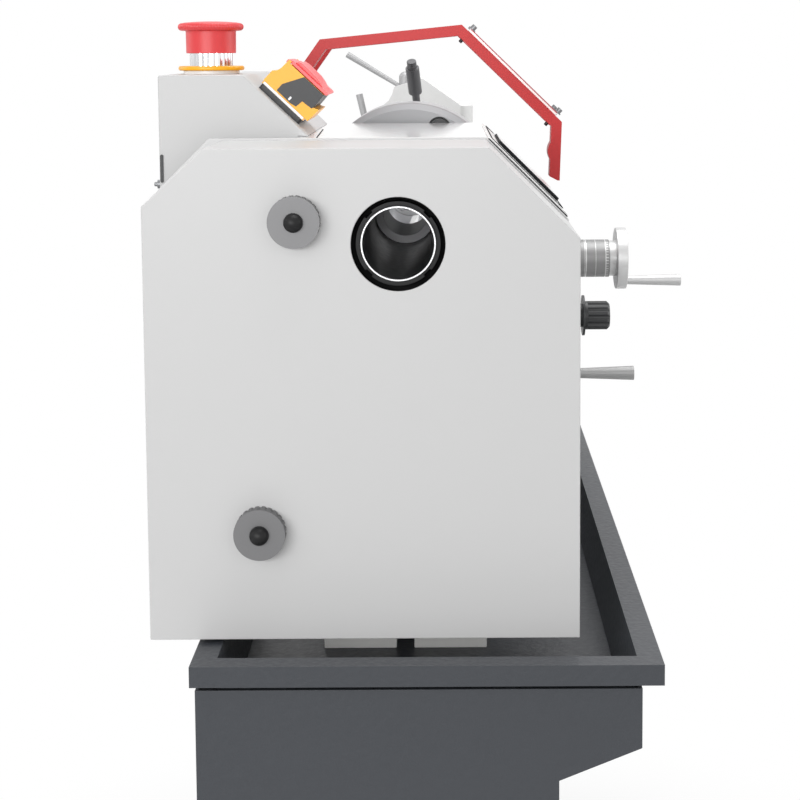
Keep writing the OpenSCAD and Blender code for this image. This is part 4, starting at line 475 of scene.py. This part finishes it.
# emergency stop
# Moulded plastic mushroom head with a fluted edge, on a chromed neck.
# A white washer and a yellow ring seat it on top of the electrical box.
red_plastic = finish("red_plastic", linear(214, 60, 64), rough=0.38, cloud=0.04, grain=600, bump=0.04)
yellow = finish("yellow_plastic", linear(240, 172, 20), rough=0.36, cloud=0.04, grain=600, bump=0.04)
white_plastic = finish("white_plastic", linear(238, 238, 238), rough=0.3, cloud=0.03, grain=600, bump=0.03)
sleeve_metal = finish("sleeve_chrome", linear(214, 215, 217), rough=0.14, metal=1.0, cloud=0.03, grain=900)
stop_x, stop_y = -0.437, 0.1535
on_box = Matrix.Translation((stop_x, stop_y, box_top))
lathe("stop_base", [(0.0062, 0), (0.0218, 0), (0.0222, 0.0006), (0.0222, 0.0030), (0.0062, 0.0030)],
      white_plastic, "frame", on_box)
ring = lathe("stop_ring", [(0.0062, 0.0029), (0.0250, 0.0029), (0.0258, 0.0034), (0.0261, 0.0046),
                           (0.0258, 0.0058), (0.0250, 0.0064), (0.0062, 0.0065)], yellow, "frame", on_box)
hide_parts("estop_collar")
lathe("stop_neck", [(0.0074, 0.0063), (0.0170, 0.0063), (0.0170, 0.0170), (0.0166, 0.0174), (0.0074, 0.0174)],
      sleeve_metal, "frame", on_box, 72, 0.0007, 4, (0.0060, 0.0175))
head = lathe("stop_head", [(0, 0.0100), (0.0058, 0.0100), (0.0060, 0.0102), (0.0060, 0.0264),
                           (0.0176, 0.0264), (0.0176, 0.0166), (0.0194, 0.0165), (0.0197, 0.0168),
                           (0.0199, 0.0336), (0.0202, 0.0341), (0.0228, 0.0342), (0.0244, 0.0346),
                           (0.0255, 0.0356), (0.0260, 0.0370), (0.0259, 0.0383), (0.0252, 0.0394),
                           (0.0239, 0.0402), (0.0205, 0.0408), (0.0140, 0.0413), (0.0070, 0.0416), (0, 0.0417)],
             red_plastic, "estop", on_box, 144, 0.0004, 2, (0.0355, 0.0395))
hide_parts("estop_button")

# flap switch
# Moulded yellow shell with black cheeks, on a black foot and a white plate on the box's slope.
# A red flap with a hood hinges at its upper end and covers the green start button.
flap_red = finish("flap_red_plastic", linear(238, 96, 98), rough=0.34, cloud=0.04, grain=600, bump=0.04)
green = finish("green_plastic", linear(60, 150, 84), rough=0.36, cloud=0.04, grain=600, bump=0.04)
dress(["switch_body"], yellow, 0.0010)
dress(["start_button"], green, 0.0004)
slope_place, slope_angle = (-0.484, 0.1102, 1.1517), 43.56
on_slope = Matrix.Translation(slope_place) @ Matrix.Rotation(math.radians(slope_angle), 4, "X")
to_side = on_slope @ along_sides
foot_x, foot_y, plate_low, plate_high = 0.035, -0.02, 0.0045, 0.0066
slab("switch_foot", rounded(0.0716, 0.0416, 0.002, foot_x, foot_y), -0.0004, plate_low, black, "frame",
     on_slope)
slab("switch_plate", rounded(0.0724, 0.0434, 0.002, foot_x, foot_y), plate_low, plate_high, white_plastic,
     "frame", on_slope)


def side_outline(points):
    """Outline drawn in millimetres down the slope and above it, as seen from the side."""
    return [(-along / 1000, above / 1000) for along, above in points]


plate = [(4.6, 30.5), (4.4, 31.8), (5.2, 32.9), (40.6, 32.9), (41.8, 32.3), (41.6, 30.9), (40.6, 30.5)]
flap = slab("flap_plate", side_outline(plate), 0.0012, 0.0688, flap_red, "flap", to_side, 0.0003)
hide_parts("switch_flap")
hood = [(6.6, 32.8), (8.4, 35.2), (12.5, 36.0), (26.0, 35.6), (31.0, 34.6), (36.0, 32.8)]
slab("flap_hood", side_outline(hood), 0.0060, 0.0640, flap_red, "flap", to_side, 0.0006)
hinge = [(0.6, 28.6), (0.6, 31.0), (4.6, 32.4), (6.0, 32.4), (6.0, 30.9), (3.4, 30.6), (3.4, 28.6)]
slab("flap_hinge", side_outline(hinge), 0.0072, 0.0628, flap_red, "flap", to_side, 0.0002)
front = [(39.5, 17.3), (39.0, 29.9), (40.0, 29.9), (40.6, 17.3)]
slab("switch_front", side_outline(front), -0.0003, 0.0703, black, "frame", to_side, 0)
cheek = [(10.8, 7.9), (25.1, 7.6), (30.2, 8.8), (30.9, 15.0), (40.1, 15.9), (39.5, 29.9), (19.5, 29.9),
         (10.6, 14.2)]
latch = [(-x, y) for x, y in rounded(0.0016, 0.0030, 0.0004, 0.0225, 0.0102)]
for name, x in (("near_switch_side", -0.0004), ("far_switch_side", 0.0699)):
    slab(name, side_outline(cheek), x, x + 0.0005, black, "frame", to_side, 0.0001)
    slab(name + "_latch", latch, x - 0.0003, x + 0.0008, white_plastic, "frame", to_side, 0.0001)

# levers, cranks and handles
# Satin chromed cranks and wheels with turned metal handles, and a grooved dial behind the cross crank.
# The tailstock's levers are zinc plated, the tool post's is oxide grey, the others are black plastic.
chrome = finish("satin_chrome", linear(206, 206, 206), rough=0.40, metal=0.7, cloud=0.04, grain=900,
                spread=0.08, bump=0.02)
dress(["cross_crank", "top_crank", "apron_handwheel", "tailstock_handwheel"], chrome, 0.0008)
dial_metal = finish("dial_satin", linear(142, 142, 142), rough=0.48, metal=0.7, cloud=0.08, grain=500,
                    spread=0.10, bump=0.03)
dial_y, dial_r, groove_r, shoulder_r = -0.2075, 0.02015, 0.0198, 0.0192
dial_profile = [(shoulder_r, 0.0003), (0.0200, 0.0003)]
for start, end in ((0.0006, 0.0042), (0.0052, 0.0150), (0.0156, 0.0250), (0.0262, 0.0268), (0.0274, 0.0560)):
    dial_profile += [(groove_r, start - 0.0001), (dial_r, start), (dial_r, end), (groove_r, end + 0.0001)]
dial_profile.append((shoulder_r, 0.0570))
dial_place = (middle("cross_crank", 0), dial_y, middle("cross_crank", 2))
lathe("cross_dial", dial_profile, dial_metal, "cross_crank",
      Matrix.Translation(dial_place) @ Matrix.Rotation(math.radians(-90), 4, "X"), 120, 0.00025, 3,
      (0.0006, 0.0042))
lever_grey = finish("lever_zinc", linear(170, 170, 171), rough=0.5, metal=0.5, cloud=0.04, grain=700,
                    bump=0.03)
dress(["quill_lever", "tailstock_clamp_lever"], lever_grey, 0.0005)
post_grey = finish("lever_oxide", linear(88, 88, 90), rough=0.42, metal=0.5, cloud=0.06, grain=700, bump=0.03)
dress(["tool_post_lever"], post_grey, 0.0006)
dress(["half_nut_lever", "selector_knob"], black, 0.0005)
cross_grip = finish("grip_metal", linear(194, 194, 194), rough=0.45, metal=0.7, cloud=0.05, grain=800)
dress(["cross_handle"], cross_grip, 0.0004)
wheel_grip = finish("wheel_grip_metal", linear(160, 160, 160), rough=0.45, metal=0.6, cloud=0.05, grain=800)
dress(["wheel_handle"], wheel_grip, 0.0004)

# control panel
# Laminated film on the slope, with a printed line round it and a seam at its near end.
# It holds a dark display window in a black bezel and four blank keys.
film_white = finish("panel_film", linear(222, 222, 221), rough=0.4, cloud=0.02, grain=900, bump=0.02)
dress(["control_panel"], film_white, 0.0003)
bezel_black = finish("bezel_black", linear(30, 31, 33), rough=0.6, cloud=0.05, grain=500, bump=0.02,
                     gloss=0.1)
glass = finish("display_glass", linear(34, 36, 38), rough=0.05, cloud=0.05, grain=500, spread=0.01, bump=0.0,
               coat=1.0)
key_grey = finish("key_film", linear(196, 198, 201), rough=0.4, cloud=0.03, grain=900)
on_panel = (Matrix.Translation((middle("control_panel", 0), -0.09475, 1.08375))
            @ Matrix.Rotation(math.radians(45), 4, "X"))
film_low, film_high, bezel_high = 0.0015, 0.0022, 0.0042
display_x, display_y, line_x = 0.016, -0.0035, 0.011
slab("display_bezel", rounded(0.1180, 0.0663, 0.003, display_x, display_y), 0.0017, bezel_high, bezel_black,
     "frame", on_panel)
slab("display_glass", rounded(0.1172, 0.0655, 0.0026, display_x, display_y), bezel_high, 0.0045, glass,
     "frame", on_panel, 0)
slab("panel_line", rounded(0.2020, 0.0784, 0.006, line_x, 0), film_low, film_high, print_grey, "frame",
     on_panel, 0, rounded(0.2002, 0.0766, 0.0051, line_x, 0))
slab("panel_seam", rounded(0.0010, 0.0840, 0.0004, -0.1182, 0), -0.0004, 0.0009, print_grey, "frame",
     on_panel, 0)
key_count, key_x, first_key_y, key_pitch = 4, 0.094, 0.024, 0.0175
for i in range(key_count):
    slab(f"key_{i + 1}", rounded(0.022, 0.012, 0.003, key_x, first_key_y - key_pitch * i), film_low,
         film_high, key_grey, "frame", on_panel, 0.0002)

# floor
# A round pale floor that keeps the machine's shadow.
# To the camera it fades to white towards its rim.
floor_radius, rim_step = 1.55, 5
fade_start, fade_end, fade_least = 0.45, 1.05, 0.35
floor_mesh = bpy.data.meshes.new("floor")
rim = [(floor_radius * math.cos(math.radians(a)), floor_radius * math.sin(math.radians(a)), 0)
       for a in range(0, 360, rim_step)]
floor_mesh.from_pydata(rim, [], [tuple(range(len(rim)))])
floor = bpy.data.objects.new("floor", floor_mesh)
bpy.context.collection.objects.link(floor)
pale = bpy.data.materials.new("pale_floor")
pale.use_nodes = True
nodes, wire = pale.node_tree.nodes, pale.node_tree.links.new
nodes["Principled BSDF"].inputs["Base Color"].default_value = (0.85, 0.85, 0.85, 1)
nodes["Principled BSDF"].inputs["Roughness"].default_value = 0.9
glow, blend = nodes.new("ShaderNodeEmission"), nodes.new("ShaderNodeMixShader")
rays, spot = nodes.new("ShaderNodeLightPath"), nodes.new("ShaderNodeTexCoord")
reach, fade = nodes.new("ShaderNodeVectorMath"), nodes.new("ShaderNodeMapRange")
reach.operation = "LENGTH"
wire(spot.outputs["Object"], reach.inputs[0])
wire(reach.outputs["Value"], fade.inputs["Value"])
fade.interpolation_type = "SMOOTHSTEP"
fade.inputs["From Min"].default_value = fade_start
fade.inputs["From Max"].default_value = fade_end
fade.inputs["To Min"].default_value = fade_least
share = nodes.new("ShaderNodeMath")
share.operation = "MULTIPLY"
wire(fade.outputs["Result"], share.inputs[1])
wire(rays.outputs["Is Camera Ray"], share.inputs[0])
wire(share.outputs[0], blend.inputs["Fac"])
wire(nodes["Principled BSDF"].outputs[0], blend.inputs[1])
wire(glow.outputs[0], blend.inputs[2])
wire(blend.outputs[0], nodes["Material Output"].inputs["Surface"])
floor_mesh.materials.append(pale)

# studio light
# A white surround, at full strength to camera, mirror and clear rays and a soft fill to the others.
# Six rectangular soft lights stand round the machine.
surround_fill = 0.46
world = bpy.data.worlds.new("studio")
bpy.context.scene.world = world
world.use_nodes = True
nodes, wire = world.node_tree.nodes, world.node_tree.links.new
backdrop, rays = nodes["Background"], nodes.new("ShaderNodeLightPath")
seen, mirrored, strength = [nodes.new("ShaderNodeMath") for _ in range(3)]
seen.operation = mirrored.operation = strength.operation = "MAXIMUM"
wire(rays.outputs["Is Camera Ray"], seen.inputs[0])
wire(rays.outputs["Is Transmission Ray"], seen.inputs[1])
wire(seen.outputs[0], mirrored.inputs[0])
wire(rays.outputs["Is Glossy Ray"], mirrored.inputs[1])
wire(mirrored.outputs[0], strength.inputs[0])
strength.inputs[1].default_value = surround_fill
wire(strength.outputs[0], backdrop.inputs["Strength"])
backdrop.inputs["Color"].default_value = (1, 1, 1, 1)


def softbox(name, place, aim, width, height, watts):
    """A rectangular soft light aimed at a point."""
    lamp = bpy.data.lights.new(name, "AREA")
    lamp.shape, lamp.size, lamp.size_y, lamp.energy = "RECTANGLE", width, height, watts
    obj = bpy.data.objects.new(name, lamp)
    bpy.context.collection.objects.link(obj)
    obj.location = place
    obj.rotation_euler = (Vector(aim) - Vector(place)).to_track_quat("-Z", "Y").to_euler()


softbox("key", (-3.0, 2.0, 2.4), (-0.4, 0, 1.0), 2.2, 1.8, 21)
softbox("fill", (-3.0, -2.0, 1.5), (-0.4, 0, 0.9), 2.2, 2.2, 6)
softbox("low", (-2.6, 0.60, 1.36), (-0.6, 0, 0.70), 1.8, 0.45, 26)
softbox("top", (0.1, -0.3, 3.6), (0, 0, 0.9), 2.6, 2.0, 58)
softbox("front", (0.4, -3.4, 1.8), (0.1, 0, 0.9), 2.4, 2.0, 36)
softbox("back", (0.6, 3.4, 2.2), (0.1, 0, 0.9), 2.4, 2.0, 30)

# camera
# It stands in front of the headstock end, a little to the operator's side of the spindle.
# It looks along the bed and slightly down.
eye_place, tilt, roll = (-1.769, -0.0346, 1.1819), 84.7, -0.31
eye = bpy.data.cameras.new("camera")
eye.sensor_width = 36
eye.lens = 74.88
eye.shift_x = -0.06
eye.shift_y = -0.2475
eye.clip_end = 50
camera = bpy.data.objects.new("camera", eye)
bpy.context.collection.objects.link(camera)
camera.location = eye_place
level = Matrix.Rotation(math.radians(-90), 3, "Z") @ Matrix.Rotation(math.radians(tilt), 3, "X")
camera.rotation_euler = (level @ Matrix.Rotation(math.radians(roll), 3, "Z")).to_euler()
bpy.context.scene.camera = camera
bpy.context.scene.view_settings.view_transform = "Standard"
